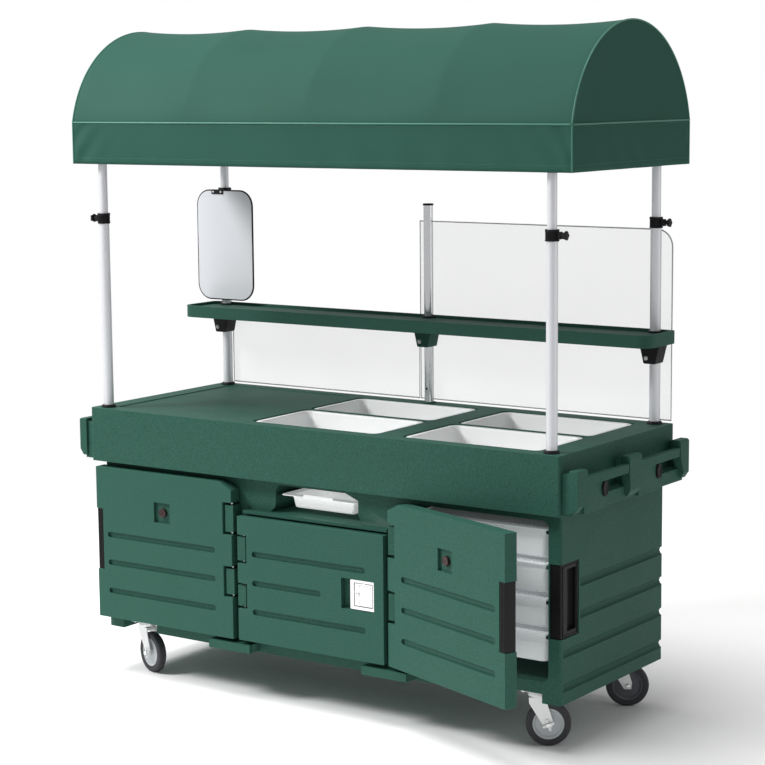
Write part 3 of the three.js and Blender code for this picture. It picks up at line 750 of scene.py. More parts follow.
def makeCabinet():
    low, high = box("cabinet")
    front = low.y + cabinetLook["bumperDepth"]

    def upright(e):
        a, b = e.verts[0].co, e.verts[1].co
        return abs(a.z - b.z) > 0.02 and abs(a.x) > high.x - 0.001 and abs(b.x) > high.x - 0.001 \
            and (abs(a.y - front) < 0.002 or a.y > high.y - 0.001) and e.is_convex

    def rest(e):
        at = centreOfEdge(e)
        return e.calc_length() > 0.006 and abs(at.x) > 0 and at.z < high.z - 0.002

    mesh = rounded("cabinet", [
        (cabinetLook["cornerRound"], 3, 30, upright),
        (cabinetLook["edgeRound"], 2, 40, rest),
    ], cabinetLook["sharpShading"])
    newPiece("cabinet_shell", mesh, shellGreen, "cart", ["cabinet"])


makeCabinet()
print("cabinet ready")


doorLook = {"edgeRound": 0.008, "grooveRound": 0.0025, "inner": 0.043, "shortest": 0.004}


def closingTurn(name):
    joint = joints[name]
    centre = Vector(joint["pos_m"])
    angle = math.radians(joint["range_deg"][0]) * joint["axis"][2]
    return Matrix.Translation(centre) @ Matrix.Rotation(angle, 4, "Z") @ Matrix.Translation(-centre)


# a door is rounded in its closed place, then swung back to where it stands
def makeDoor(side, closing):
    name = "door_" + side
    points = [closing @ v.co for v in nodes[name].data.vertices]
    lowX, highX = min(p.x for p in points), max(p.x for p in points)
    lowZ, highZ = min(p.z for p in points), max(p.z for p in points)

    def inner(e):
        at = closing @ centreOfEdge(e)
        margin = doorLook["inner"]
        return lowX + margin < at.x < highX - margin and lowZ + 0.03 < at.z < highZ - 0.03

    def outline(e):
        return not inner(e) and e.calc_length() > doorLook["shortest"]

    mesh = rounded(name, [
        (doorLook["edgeRound"], 3, 30, outline),
        (doorLook["grooveRound"], 2, 30, inner),
    ])
    newPiece(name + "_panel", mesh, doorGreen, name, [name])


makeDoor("left", Matrix.Identity(4))
makeDoor("middle", Matrix.Identity(4))
makeDoor("right", closingTurn("door_right_hinge"))
print("doors ready")


furnitureLook = {
    "gripRound": 0.003, "gripRibs": 3, "barrelRadius": 0.0165, "ringWidth": 0.003, "keySlot": 0.009,
}


# a matrix that puts a piece drawn along +Z at a place, facing along an axis
def facing(place, axis):
    return Matrix.Translation(place) @ Vector(axis).to_track_quat("Z", "Y").to_matrix().to_4x4()


def placed(shape, matrix):
    bmesh.ops.transform(shape, matrix=matrix, verts=shape.verts)
    return shape


# the front of an outer door faces against the axis on which its lock turns
def makeLock(side):
    joint = joints["lock_" + side + "_turn"]
    out = Vector(joint["axis"])
    if out.y > 0:
        out = -out
    centre = middle("lock_barrel_" + side) + out * 0.0055
    r = furnitureLook["barrelRadius"] - furnitureLook["ringWidth"]
    ring = turned([
        (0.0, -0.011), (r + 0.003, -0.011), (r + 0.003, -0.0015), (r + 0.0018, 0.0), (r - 0.0012, 0.0),
        (r - 0.002, -0.0012), (0.0, -0.0012),
    ], steps=32)
    newPiece("lock_ring_" + side, shaded(placed(ring, facing(centre, out))), lockBrown, "lock_" + side,
             ["lock_barrel_" + side])
    # the key slot is not cut: a thin black block on the barrel's face is painted shade for the dark inside
    # of the slot
    slot = bmesh.new()
    block(slot, (-0.0011, -furnitureLook["keySlot"] / 2, -0.0013),
          (0.0011, furnitureLook["keySlot"] / 2, -0.0007))
    newPiece("key_slot_" + side, asMesh(placed(slot, facing(centre, out))), blackPlastic, "lock_" + side,
             smooth=False)


def makeGrips():
    for side in ("left", "right"):
        name = "door_grip_" + side
        mesh = rounded(name, [(furnitureLook["gripRound"], 2, 30, anyEdge)])
        newPiece(name + "_insert", mesh, blackPlastic, "door_" + side, [name])
        closing = closingTurn("door_right_hinge") if side == "right" else Matrix.Identity(4)
        points = [closing @ v.co for v in nodes[name].data.vertices]
        low = Vector(min(p[i] for p in points) for i in range(3))
        high = Vector(max(p[i] for p in points) for i in range(3))
        step = (high.x - low.x) / (furnitureLook["gripRibs"] + 1)
        ribs = grown(
            "grip_ribs_" + side, "ribs", [(0, 0, 0)], "door_" + side, blackPlastic,
            Count=furnitureLook["gripRibs"], Start=(low.x + step, low.y, middle(name).z),
            Step=(step, 0.0, 0.0),
            Length=high.z - low.z - 0.012, Radius=0.0022, Squash=(1.0, 0.7, 1.0), Turn=(0.0, 0.0, 0.0))
        ribs.data.transform(closing.inverted())


def flatFrame(shape, outerLow, outerHigh, innerLow, innerHigh, front, back, radius=0.004):
    centreOut = ((outerLow[0] + outerHigh[0]) / 2, (outerLow[1] + outerHigh[1]) / 2)
    centreIn = ((innerLow[0] + innerHigh[0]) / 2, (innerLow[1] + innerHigh[1]) / 2)
    halfOut = ((outerHigh[0] - outerLow[0]) / 2, (outerHigh[1] - outerLow[1]) / 2)
    halfIn = ((innerHigh[0] - innerLow[0]) / 2, (innerHigh[1] - innerLow[1]) / 2)
    rings = [
        roundedRing(*centreOut, back, *halfOut, radius),
        roundedRing(*centreOut, front, *halfOut, radius),
        roundedRing(*centreIn, front, *halfIn, radius * 0.7),
        roundedRing(*centreIn, back, *halfIn, radius * 0.7),
    ]
    rings = [[(x, y, z) for x, z, y in ring] for ring in rings]
    skin(shape, rings, loop=True)


# stainless latch plate let into the middle door, with its paddle and key barrel
def makeLatch():
    low, high = box("latch_paddle")
    front = low.y
    frameShape = bmesh.new()
    flatFrame(frameShape, (low.x - 0.018, low.z - 0.014), (high.x + 0.0085, high.z + 0.012),
              (low.x - 0.0025, low.z - 0.0025), (high.x + 0.0025, high.z + 0.0025), front - 0.001,
              front + 0.005)
    mesh = worked(asMesh(frameShape), ("BEVEL",
        {"width": 0.0008, "segments": 2, "limit_method": "ANGLE"}))
    newPiece("latch_frame", evenShading(mesh, 40), latchSteel, "door_middle")
    plate = bmesh.new()
    block(plate, (low.x - 0.017, front + 0.0145, low.z - 0.013),
          (high.x + 0.0075, front + 0.0155, high.z + 0.011))
    newPiece("latch_back_plate", asMesh(plate), latchSteel, "door_middle", smooth=False)
    paddle = rounded("latch_paddle", [(0.0007, 2, 40, lambda e: e.calc_length() > 0.006)])
    newPiece("latch_paddle_plate", paddle, latchSteel, "latch", ["latch_paddle"])
    rim = bmesh.new()
    inset = 0.006
    corners = [(low.x + 0.02, low.z + inset), (high.x - inset, low.z + inset),
               (high.x - inset, high.z - inset), (low.x + 0.02, high.z - inset)]
    bar(rim, [(x, front + 0.001, z) for x, z in corners], 0.0013, 8, loop=True)
    newPiece("latch_paddle_rim", asMesh(rim), lockBrown, "latch")
    key = turned([(0.0, -0.004), (0.0085, -0.004), (0.0085, 0.002), (0.0075, 0.003), (0.005, 0.003),
                  (0.0042, 0.0018), (0.0, 0.0018)], steps=32)
    keyPlace = (low.x + 0.012, front + 0.0005, (low.z + high.z) / 2)
    newPiece("latch_key_barrel", shaded(placed(key, facing(keyPlace, (0, -1, 0)))), chromeMetal, "latch")


def makeHingePins():
    for side in ("left", "middle", "right"):
        low, high = box("hinge_pin_" + side)
        centre = (low + high) / 2
        r = (high.x - low.x) / 2
        shape = turned([(0, low.z), (r - 0.001, low.z), (r, low.z + 0.001), (r, high.z - 0.001),
                        (r - 0.001, high.z), (0, high.z)],
               (centre.x, centre.y, 0), 24)
        newPiece("hinge_rod_" + side, shaded(shape), chromeMetal, "cart", ["hinge_pin_" + side])


makeLock("left")
makeLock("right")
makeGrips()
makeLatch()
makeHingePins()
print("door furniture ready")


pocketLook = {"round": 0.003, "proud": 0.0025}


def makePockets():
    for side, sign in (("left", -1), ("right", 1)):
        name = "corner_pocket_" + side
        low, high = box(name)
        mesh = rounded(name, [(pocketLook["round"], 2, 30, anyEdge)])
        newPiece(name + "_shell", mesh, blackPlastic, "cart", [name])
        face = high.x if sign > 0 else low.x
        shape = bmesh.new()
        bar(shape, [
            (face, low.y + 0.012, low.z + 0.008), (face, high.y - 0.008, low.z + 0.008),
            (face, high.y - 0.008, high.z - 0.008), (face, low.y + 0.012, high.z - 0.008),
        ], pocketLook["proud"], 10, loop=True)
        bar(shape, [(face - sign * 0.004, low.y + 0.042, low.z + 0.024),
                    (face - sign * 0.004, low.y + 0.042, high.z - 0.024)], 0.004, 12)
        bar(shape, [(face - sign * 0.018, low.y + 0.06, low.z + 0.024),
                    (face - sign * 0.018, low.y + 0.06, high.z - 0.05)], 0.003, 12)
        newPiece("corner_pocket_frame_" + side, asMesh(shape), blackPlastic, "cart")


makePockets()
print("corner pockets ready")


panLook = {"corner": 0.034, "wall": 0.003, "flange": 0.013, "taper": 0.012, "fillet": 0.012}


# a pressed pan: floor, wall with a fillet, rolled rim, and the same again underneath
def panShape(low, high, corner, wall, flange, taper, fillet):
    shape = bmesh.new()
    x, y, halfX, halfY = plan(low, high)
    top, bottom = high.z, low.z

    def ring(inset, z, radius):
        return roundedRing(x, y, z, halfX - inset, halfY - inset, max(radius, 0.004))

    inner = flange + wall
    steps = 5
    rings = [ring(inner + taper + fillet, bottom + wall, corner * 0.5)]
    for i in range(1, steps + 1):
        turn = i / steps * math.pi / 2
        rings.append(ring(inner + taper + fillet * (1 - math.sin(turn)),
                          bottom + wall + fillet * (1 - math.cos(turn)), corner * 0.8))
    rings.append(ring(inner, top - 0.004, corner - flange * 0.6))
    rings.append(ring(inner - 0.0012, top - 0.001, corner - flange * 0.6))
    rings.append(ring(inner - 0.004, top, corner - flange * 0.5))
    rings.append(ring(0.0016, top, corner))
    rings.append(ring(0.0, top - 0.0015, corner))
    rings.append(ring(0.0, top - 0.003, corner))
    rings.append(ring(0.002, top - 0.003, corner))
    rings.append(ring(flange - 0.001, top - 0.003, corner - flange * 0.6))
    rings.append(ring(flange, top - 0.006, corner - flange * 0.6))
    for i in range(steps, -1, -1):
        turn = i / steps * math.pi / 2
        rings.append(ring(flange + taper + (fillet + wall) * (1 - math.sin(turn)),
                          bottom + (fillet + wall) * (1 - math.cos(turn)), corner * 0.8))
    skin(shape, rings)
    return shape


# the tray has a wide flange, with a low lip in the middle of its front edge to pull it by
trayLook = {"corner": 0.014, "wall": 0.003, "flange": 0.03, "taper": 0.004, "fillet": 0.004}
trayLip = (0.064, 0.002, 0.009)


def makePans():
    for name in ("well_pan_front_left", "well_pan_rear_left", "well_pan_front_right",
                 "well_pan_rear_right"):
        low, high = box(name)
        shape = panShape(low, high, **panLook)
        newPiece(name + "_moulded", shaded(shape, 60), panWhite, name, [name])
    low, high = box("utility_tray")
    shape = panShape(low, high, **trayLook)
    newPiece("utility_tray_moulded", shaded(shape, 60), trayWhitePaintedGlow, "tray", ["utility_tray"])
    grip = bmesh.new()
    x, (half, thick, tall) = (low.x + high.x) / 2, trayLip
    rings = [roundedRing(x, low.y + thick, z, half - inset, thick - inset, thick - inset - 0.0003, 5)
             for inset, z in ((0.0, high.z - 0.001), (0.0, high.z + tall - 0.001),
                              (0.001, high.z + tall))]
    skin(grip, rings)
    newPiece("utility_tray_lip", shaded(grip), trayWhitePaintedGlow, "tray")


boxLook = {"lidHeight": 0.009, "lidCorner": 0.022, "ribPitch": 0.0145, "ribRadius": 0.0028,
           "bodyInset": 0.0095, "taper": 0.007,
    "footRound": 0.008, "body": [(0.68, 0.0), (0.7, -0.0015), (0.97, -0.0015), (1.0, -0.0015)]}


# lidded storage boxes; the ribs of each lid run from front to back
def makeFoodBoxes():
    for number in range(1, 5):
        name = "food_box_" + str(number)
        low, high = box(name)
        x, y, halfX, halfY = plan(low, high)
        lidBottom = high.z - boxLook["lidHeight"]
        inset, taper, corner = boxLook["bodyInset"], boxLook["taper"], boxLook["lidCorner"]
        foot = boxLook["footRound"]

        def level(z, grow, radius=corner):
            return roundedRing(x, y, z, halfX + grow, halfY + grow, radius)

        rings = [level(low.z, -inset - taper - foot)]
        for i in range(1, 6):
            turn = i / 5 * math.pi / 2
            rings.append(level(low.z + foot * (1 - math.cos(turn)),
                               -inset - taper - foot * (1 - math.sin(turn))))
        for share, step in boxLook["body"]:
            rings.append(level(low.z + (lidBottom - low.z) * share, step - inset - taper * (1 - share)))
        body = bmesh.new()
        skin(body, rings)
        newPiece(name + "_body", shaded(body), boxWhitePaintedGlow, "cart", [name])
        lid = bmesh.new()
        skin(lid, [level(z, grow, corner + grow) for grow, z in (
            (-0.008, lidBottom + 0.0004), (-0.001, lidBottom + 0.0004), (0.0, lidBottom + 0.0015),
            (0.0, high.z - 0.005), (-0.002, high.z - 0.003), (-0.005, high.z - 0.003))])
        newPiece(name + "_lid", shaded(lid), boxWhitePaintedGlow, "cart")
        count = int((2 * halfX - 0.03) / boxLook["ribPitch"])
        start = x - (count - 1) * boxLook["ribPitch"] / 2
        grown(name + "_lid_ribs", "ribs", [(0, 0, 0)], "cart", panWhite, slot="food_box", Count=count,
              Start=(start, y, high.z - 0.003), Step=(boxLook["ribPitch"], 0.0, 0.0),
              Length=2 * halfY - 0.03,
              Radius=boxLook["ribRadius"], Squash=(1.0, 1.0, 1.0), Turn=(math.pi / 2, 0.0, 0.0))


makePans()
makeFoodBoxes()
print("pans and boxes ready")


postLook = {"steps": 40, "ribs": 22, "ribSize": (0.0022, 0.0026, 0.026), "lugRound": 0.002, "lobes": 5}


def tubeShape(x, y, z0, z1, outer, inner, steps=40):
    edge = 0.0006
    profile = [(outer - edge, z0), (outer, z0 + edge), (outer, z1 - edge), (outer - edge, z1),
               (inner, z1), (inner, z0)]
    return turned(profile, (x, y, 0), steps, closed=True)


def makePosts():
    for corner in cornerNames:
        low, high = box("lower_post_" + corner)
        upperLow, upperHigh = box("upper_post_" + corner)
        centre = (upperLow + upperHigh) / 2
        upperRadius = (upperHigh.x - upperLow.x) / 2
        lowerRadius = upperRadius + 0.003
        tube = tubeShape(centre.x, centre.y, low.z, high.z, lowerRadius, upperRadius + 0.001)
        newPiece("post_tube_" + corner, shaded(tube), satinMetal, "cart", ["lower_post_" + corner])
        slim = tubeShape(centre.x, centre.y, upperLow.z, upperHigh.z, upperRadius, upperRadius - 0.002)
        newPiece("post_slide_" + corner, shaded(slim), satinMetal, "canopy", ["upper_post_" + corner])
        top = box("deck")[1].z
        reach = (high.x - low.x) / 2
        foot = turned([
            (lowerRadius + 0.0004, top), (reach, top), (reach, top + 0.005),
            (reach - 0.0015, top + 0.0075),
            (reach - 0.0045, top + 0.0085), (lowerRadius + 0.0028, top + 0.0105),
            (lowerRadius + 0.0004, top + 0.0105),
        ], (centre.x, centre.y, 0), postLook["steps"], closed=True)
        newPiece("post_foot_ring_" + corner, shaded(foot, 35), blackPlastic, "cart")


def makeCollars():
    for corner in cornerNames:
        name = "clamp_collar_" + corner
        low, high = box(name)
        postLow, postHigh = box("upper_post_" + corner)
        centre = (postLow + postHigh) / 2
        sign = 1 if high.x - centre.x > centre.x - low.x else -1
        inner = (postHigh.x - postLow.x) / 2 + 0.0034
        outer = min(high.x - centre.x, centre.x - low.x) - 0.0012
        ring = turned([
            (inner, low.z), (outer - 0.001, low.z), (outer, low.z + 0.001), (outer, low.z + 0.005),
            (outer - 0.0025, low.z + 0.006),
            (outer - 0.0025, high.z - 0.009), (outer, high.z - 0.008), (outer, high.z - 0.001),
            (outer - 0.001, high.z), (inner, high.z),
        ], (centre.x, centre.y, 0), postLook["steps"], closed=True)
        newPiece("collar_ring_" + corner, shaded(ring, 35), blackPlastic, "cart", [name])
        lug = bmesh.new()
        lugFrom, lugTo = centre.x + sign * (outer - 0.004), centre.x + sign * 0.036
        block(lug, (min(lugFrom, lugTo), centre.y - 0.0078, low.z + 0.007),
              (max(lugFrom, lugTo), centre.y + 0.0078, high.z - 0.007))
        lugMesh = worked(asMesh(lug), ("BEVEL", {"width": postLook["lugRound"], "segments": 3}))
        newPiece("collar_lug_" + corner, evenShading(lugMesh), blackPlastic, "cart")
        grown("collar_grip_" + corner, "crown", [(0, 0, 0)], "cart", blackPlastic, Count=postLook["ribs"],
              Radius=outer - 0.0022, Centre=(centre.x, centre.y, (low.z + high.z) / 2),
              Bar=postLook["ribSize"])
        makeKnob(corner, sign)


def makeKnob(corner, sign):
    low, high = box("clamp_knob_" + corner)
    centre = (low + high) / 2
    start, end = (low.x, high.x) if sign > 0 else (high.x, low.x)
    length = abs(end - start)
    shape = bmesh.new()
    profile = [(0.0, 0.0), (0.0065, 0.0), (0.0065, length * 0.42), (0.012, length * 0.48),
               (0.0155, length * 0.54),
               (0.0155, length * 0.86), (0.0135, length * 0.97), (0.008, length), (0.0, length)]
    steps = 40
    rings = []
    for radius, along in profile:
        ring = []
        for i in range(steps):
            angle = 2 * math.pi * i / steps
            lobe = 1 + (0.11 * math.cos(postLook["lobes"] * angle) - 0.11) * (radius > 0.009)
            ring.append((start + sign * along, centre.y + radius * lobe * math.cos(angle),
                         centre.z + radius * lobe * math.sin(angle)))
        rings.append(ring)
    skin(shape, rings)
    newPiece("knob_head_" + corner, shaded(shape, 40), blackPlastic, "clamp_knob_" + corner,
             ["clamp_knob_" + corner])


def makeCentrePost():
    low, high = box("centre_post")
    centre = (low + high) / 2
    capRadius = (high.x - low.x) / 2
    r = capRadius - 0.0025
    shape = turned([(0.0, low.z), (r, low.z), (r, high.z - 0.006), (0.0, high.z - 0.006)],
                   (centre.x, centre.y, 0), 48)
    newPiece("centre_post_tube", shaded(shape), chromeMetal, "cart", ["centre_post"])
    cap = turned([(0.0, high.z - 0.0065), (capRadius, high.z - 0.0065), (capRadius, high.z - 0.002),
                  (capRadius - 0.002, high.z), (0.0, high.z)],
           (centre.x, centre.y, 0), 48)
    newPiece("centre_post_cap", shaded(cap), blackPlastic, "cart")
    top = box("deck")[1].z
    foot = turned([(r + 0.0006, top), (r + 0.007, top), (r + 0.007, top + 0.003),
                   (r + 0.005, top + 0.005), (r + 0.0006, top + 0.005)],
           (centre.x, centre.y, 0), 48, closed=True)
    newPiece("centre_post_ring", shaded(foot, 35), shellGreen, "cart")
    # the hole is not cut: a black disc on the post's face is painted shade for the dark inside of the hole
    hole = turned([(0.0, -0.002), (0.0045, -0.002), (0.0045, 0.0004), (0.0, 0.0004)], steps=20)
    newPiece("centre_post_hole", shaded(placed(hole,
        facing((centre.x, centre.y - r, top + 0.055), (0, -1, 0)))),
             blackPlastic, "cart")


makePosts()
makeCollars()
makeCentrePost()
print("posts ready")


shelfLook = {"round": 0.006, "rimRound": 0.003, "bracketRound": 0.004, "recess": 0.01, "boltHead": 0.0055,
             "boltHeight": 0.006}


def makeShelf():
    low, high = box("shelf")

    def outside(e):
        at = centreOfEdge(e)
        margin = 0.006
        near = at.y < low.y + margin or at.y > high.y - margin or abs(at.x) > high.x - margin
        midHeight = low.z + 0.01 < at.z < high.z - 0.002
        corner = abs(at.x) > high.x - 0.05 and at.y < low.y + 0.05 and not midHeight
        level = abs(e.verts[0].co.z - e.verts[1].co.z) < 0.02
        return (near or corner) and level and e.is_convex and not isInDish(at)

    def isInDish(at):
        return abs(at.z - (high.z - shelfLook["recess"])) < 0.001

    def inside(e):
        return e.calc_length() > 0.008

    mesh = rounded("shelf", [(shelfLook["round"], 3, 30, outside),
        (shelfLook["rimRound"], 2, 40, inside)])
    newPiece("shelf_tray", mesh, shellGreen, "cart", ["shelf"])
    floor = high.z - shelfLook["recess"]
    for place, post in (("left", "lower_post_rear_left"), ("right", "lower_post_rear_right"),
                        ("centre", "centre_post")):
        name = "shelf_bracket_" + place
        material = shellGreen if place == "centre" else blackPlastic
        mesh = rounded(name, [(shelfLook["bracketRound"], 2, 20, lambda e: e.calc_length() > 0.01)])
        newPiece(name + "_body", mesh, material, "cart", [name])
        centre = middle(post)
        inner = 0.0182 if place == "centre" else 0.0196
        ring = turned([(inner, floor), (inner + 0.0065, floor), (inner + 0.0065, floor + 0.004),
                       (inner + 0.004, floor + 0.0065), (inner, floor + 0.0065)],
               (centre.x, centre.y, 0), 40, closed=True)
        newPiece("shelf_ring_" + place, shaded(ring, 35), blackPlastic, "cart")
        bracketLow = box(name)[0]
        spot = (centre.x - 0.012, bracketLow.y, bracketLow.z + 0.02)
        grown("bracket_bolt_" + place, "bolts", [spot], "cart", boltWhite,
              Head=shelfLook["boltHead"], Height=shelfLook["boltHeight"], Turn=(math.pi / 2, 0.0, 0.0))


makeShelf()
print("shelf ready")


shieldLook = {"cornerRadius": 0.06, "lowCornerRadius": 0.02, "edgeRadius": 0.0026}


# an upright outline whose corners are rounded, from the low left corner round
def cornerPath(x0, x1, z0, z1, radii, steps=8):
    spots = [(x0, z0, 1, 1, 2), (x1, z0, -1, 1, 3), (x1, z1, -1, -1, 0), (x0, z1, 1, -1, 1)]
    path = []
    for (x, z, sx, sz, turn), radius in zip(spots, radii):
        if radius == 0:
            path.append((x, z))
            continue
        for i in range(steps + 1):
            angle = (turn + i / steps) * math.pi / 2
            path.append((x + sx * radius + radius * math.cos(angle),
                         z + sz * radius + radius * math.sin(angle)))
    return path


def slab(shape, path, front, back, edge):
    x = sum(p[0] for p in path) / len(path)
    z = sum(p[1] for p in path) / len(path)
    halfX = max(abs(p[0] - x) for p in path)
    halfZ = max(abs(p[1] - z) for p in path)

    def ring(inset, y):
        return [(x + (a - x) * (1 - inset / halfX), y, z + (b - z) * (1 - inset / halfZ)) for a,
                b in path]

    skin(shape, [ring(edge, front), ring(0.0, front + edge), ring(0.0, back - edge), ring(edge, back)])


def makeShields():
    for side in ("left", "right"):
        name = "shield_" + side
        low, high = box(name)
        radii = [0, 0, shieldLook["cornerRadius"], 0] if side == "right" else [0, 0, 0,
            shieldLook["lowCornerRadius"]]
        path = cornerPath(low.x, high.x, low.z, high.z, radii)
        shape = bmesh.new()
        slab(shape, path, low.y, high.y, 0.0006)
        newPiece(name + "_sheet", shaded(shape), clearPlastic, "cart", [name])
        edge = bmesh.new()
        y = (low.y + high.y) / 2
        bar(edge, [(x, y, z) for x, z in path], shieldLook["edgeRadius"], 8, loop=True)
        newPiece(name + "_edge", asMesh(edge), clearEdge, "cart")


makeShields()
print("shields ready")


boardLook = {"corner": 0.06, "thickness": 0.006, "trim": 0.0036, "sleeveInner": 0.0205,
             "sleeveOuter": 0.0255, "clipHeight": 0.018}


def makeBoard():
    low, high = box("message_board")
    post = middle("upper_post_rear_left")
    collarTop = box("clamp_collar_rear_left")[1].z
    boardTop = high.z - 0.01
    front = low.y + 0.005
    path = cornerPath(low.x, high.x, low.z, boardTop, [boardLook["corner"]] * 4, 10)
    shape = bmesh.new()
    slab(shape, path, front, front + boardLook["thickness"], 0.0012)
    newPiece("board_panel", shaded(shape), boardWhite, "message_board", ["message_board"])
    trim = bmesh.new()
    bar(trim, [(x, front + boardLook["thickness"] / 2, z) for x, z in path], boardLook["trim"], 10,
        loop=True)
    newPiece("board_trim", asMesh(trim), blackPlastic, "message_board")
    sleeve = tubeShape(post.x, post.y, collarTop + 0.0008, high.z, boardLook["sleeveOuter"],
                       boardLook["sleeveInner"])
    newPiece("board_sleeve", shaded(sleeve), blackPlastic, "message_board")
    arm = bmesh.new()
    back = front + boardLook["thickness"]
    block(arm, (post.x - 0.016, back, collarTop + 0.008),
          (post.x + 0.016, post.y - boardLook["sleeveInner"] - 0.001, high.z - 0.006))
    block(arm, (post.x - 0.036, front - 0.004, boardTop - boardLook["clipHeight"] + 0.004),
          (post.x + 0.021, back + 0.003, boardTop + 0.004))
    mesh = worked(asMesh(arm), ("BEVEL", {"width": 0.0015, "segments": 2}))
    newPiece("board_clamp", evenShading(mesh), blackPlastic, "message_board")
    grown("board_screws", "bolts", [(post.x - 0.026, front - 0.004, boardTop - 0.005),
        (post.x + 0.011, front - 0.004, boardTop - 0.005)],
          "message_board", boltSteel, Head=0.003, Height=0.002, Turn=(math.pi / 2, 0.0, 0.0))


makeBoard()
print("board ready")


canopyLook = {
    "valance": 0.15, "tube": 0.0095, "hoops": [-1.0, -0.5097, 0.0, 0.5097, 1.0], "hoopInset": 0.02,
    "railInset": 0.016,
    "columns": 176, "archRows": 84, "valanceRows": 12, "sag": 0.011, "ripple": 0.0034,
    "endRipple": 0.0085,
    "thickness": 0.0012, "piping": 0.0032, "hem": 0.022, "stitchGap": 0.007, "stitchSpacing": 0.0085,
    "seamFade": 0.03,
}
coverLow, coverHigh = box("canopy_cover")
coverHalf = Vector((coverHigh - coverLow) / 2)
coverY = (coverLow.y + coverHigh.y) / 2
springZ = coverLow.z + canopyLook["valance"]
archRise = coverHigh.z - springZ
archRadius = (coverHalf.y ** 2 + archRise ** 2) / (2 * archRise)
archCentreZ = coverHigh.z - archRadius
archStart = math.acos(coverHalf.y / archRadius)
archLength = archRadius * (math.pi - 2 * archStart)
hoopSpots = [share * (coverHalf.x - canopyLook["hoopInset"]) for share in canopyLook["hoops"]]


def fade(distance, reach):
    share = max(0.0, min(1.0, distance / reach))
    return share * share * (3 - 2 * share)


# the cover across its length: up the front valance, over the arch and down the rear valance
def section(run):
    valance = canopyLook["valance"]
    if run <= valance:
        return -coverHalf.y, coverLow.z + run, -1.0, 0.0
    if run >= valance + archLength:
        return coverHalf.y, springZ - (run - valance - archLength), 1.0, 0.0
    angle = math.pi - archStart - (run - valance) / archRadius
    outY, outZ = math.cos(angle), math.sin(angle)
    return archRadius * outY, archCentreZ + archRadius * outZ, outY, outZ


def valanceWave(along, height, seed):
    loose = 1 - fade(height, canopyLook["valance"])
    slow = noise.noise(Vector((along * 3.1, height * 2.0, seed)))
    quick = noise.noise(Vector((along * 11.0 + height * 5.0, height * 4.0, seed + 5.0)))
    return canopyLook["ripple"] * (0.35 + loose) * (slow * 1.3 + quick * 0.8)


def coverPoint(x, run):
    y, z, outY, outZ = section(run)
    total = 2 * canopyLook["valance"] + archLength
    toEnd = fade(coverHalf.x - abs(x), canopyLook["seamFade"])
    inValance = min(run, total - run)
    if inValance < canopyLook["valance"]:
        off = valanceWave(x, inValance, 1.0 if y < 0 else 9.0)
        corner = math.exp(-(coverHalf.x - abs(x)) / 0.07)
        off += canopyLook["ripple"] * 1.6 * corner * math.sin(inValance * 55.0 + abs(x) * 60.0)
    else:
        bay = max(i for i in range(len(hoopSpots) - 1) if i == 0 or x >= hoopSpots[i])
        share = (x - hoopSpots[bay]) / (hoopSpots[bay + 1] - hoopSpots[bay])
        share = max(0.0, min(1.0, share))
        above = fade(inValance - canopyLook["valance"], 0.12)
        off = -canopyLook["sag"] * (1 - (2 * share - 1) ** 2) * above
        off += 0.0016 * above * noise.noise(Vector((x * 2.2, run * 5.0, 3.0)))
    return Vector((x, coverY + y + outY * off * toEnd, z + outZ * off * toEnd))


def archTop(y):
    inside = max(0.0, archRadius ** 2 - y ** 2)
    return min(archCentreZ + math.sqrt(inside), coverHigh.z)


def endPoint(side, y, z):
    rim = min(coverHalf.y - abs(y), archTop(y) - z)
    hold = fade(rim, 0.05) if z >= springZ else fade(coverHalf.y - abs(y), 0.03)
    if z >= springZ:
        off = -0.006 * fade(rim, 0.16) + 0.002 * noise.noise(Vector((y * 5.0, z * 5.0, side * 4.0)))
        off *= fade(z - springZ, 0.05)
    else:
        loose = 1 - fade(z - coverLow.z, canopyLook["valance"])
        off = canopyLook["endRipple"] * (0.3 + loose) * noise.noise(Vector((y * 9.0 + z * 7.0, z * 6.0,
            20.0 + side)))
        off += canopyLook["ripple"] * math.exp(-(coverHalf.y - abs(y)) / 0.05) * math.sin(z * 60.0)
    return Vector((side * (coverHalf.x + off * hold), coverY + y, z))


def spread(a, b, count):
    return [a + (b - a) * i / count for i in range(count + 1)]


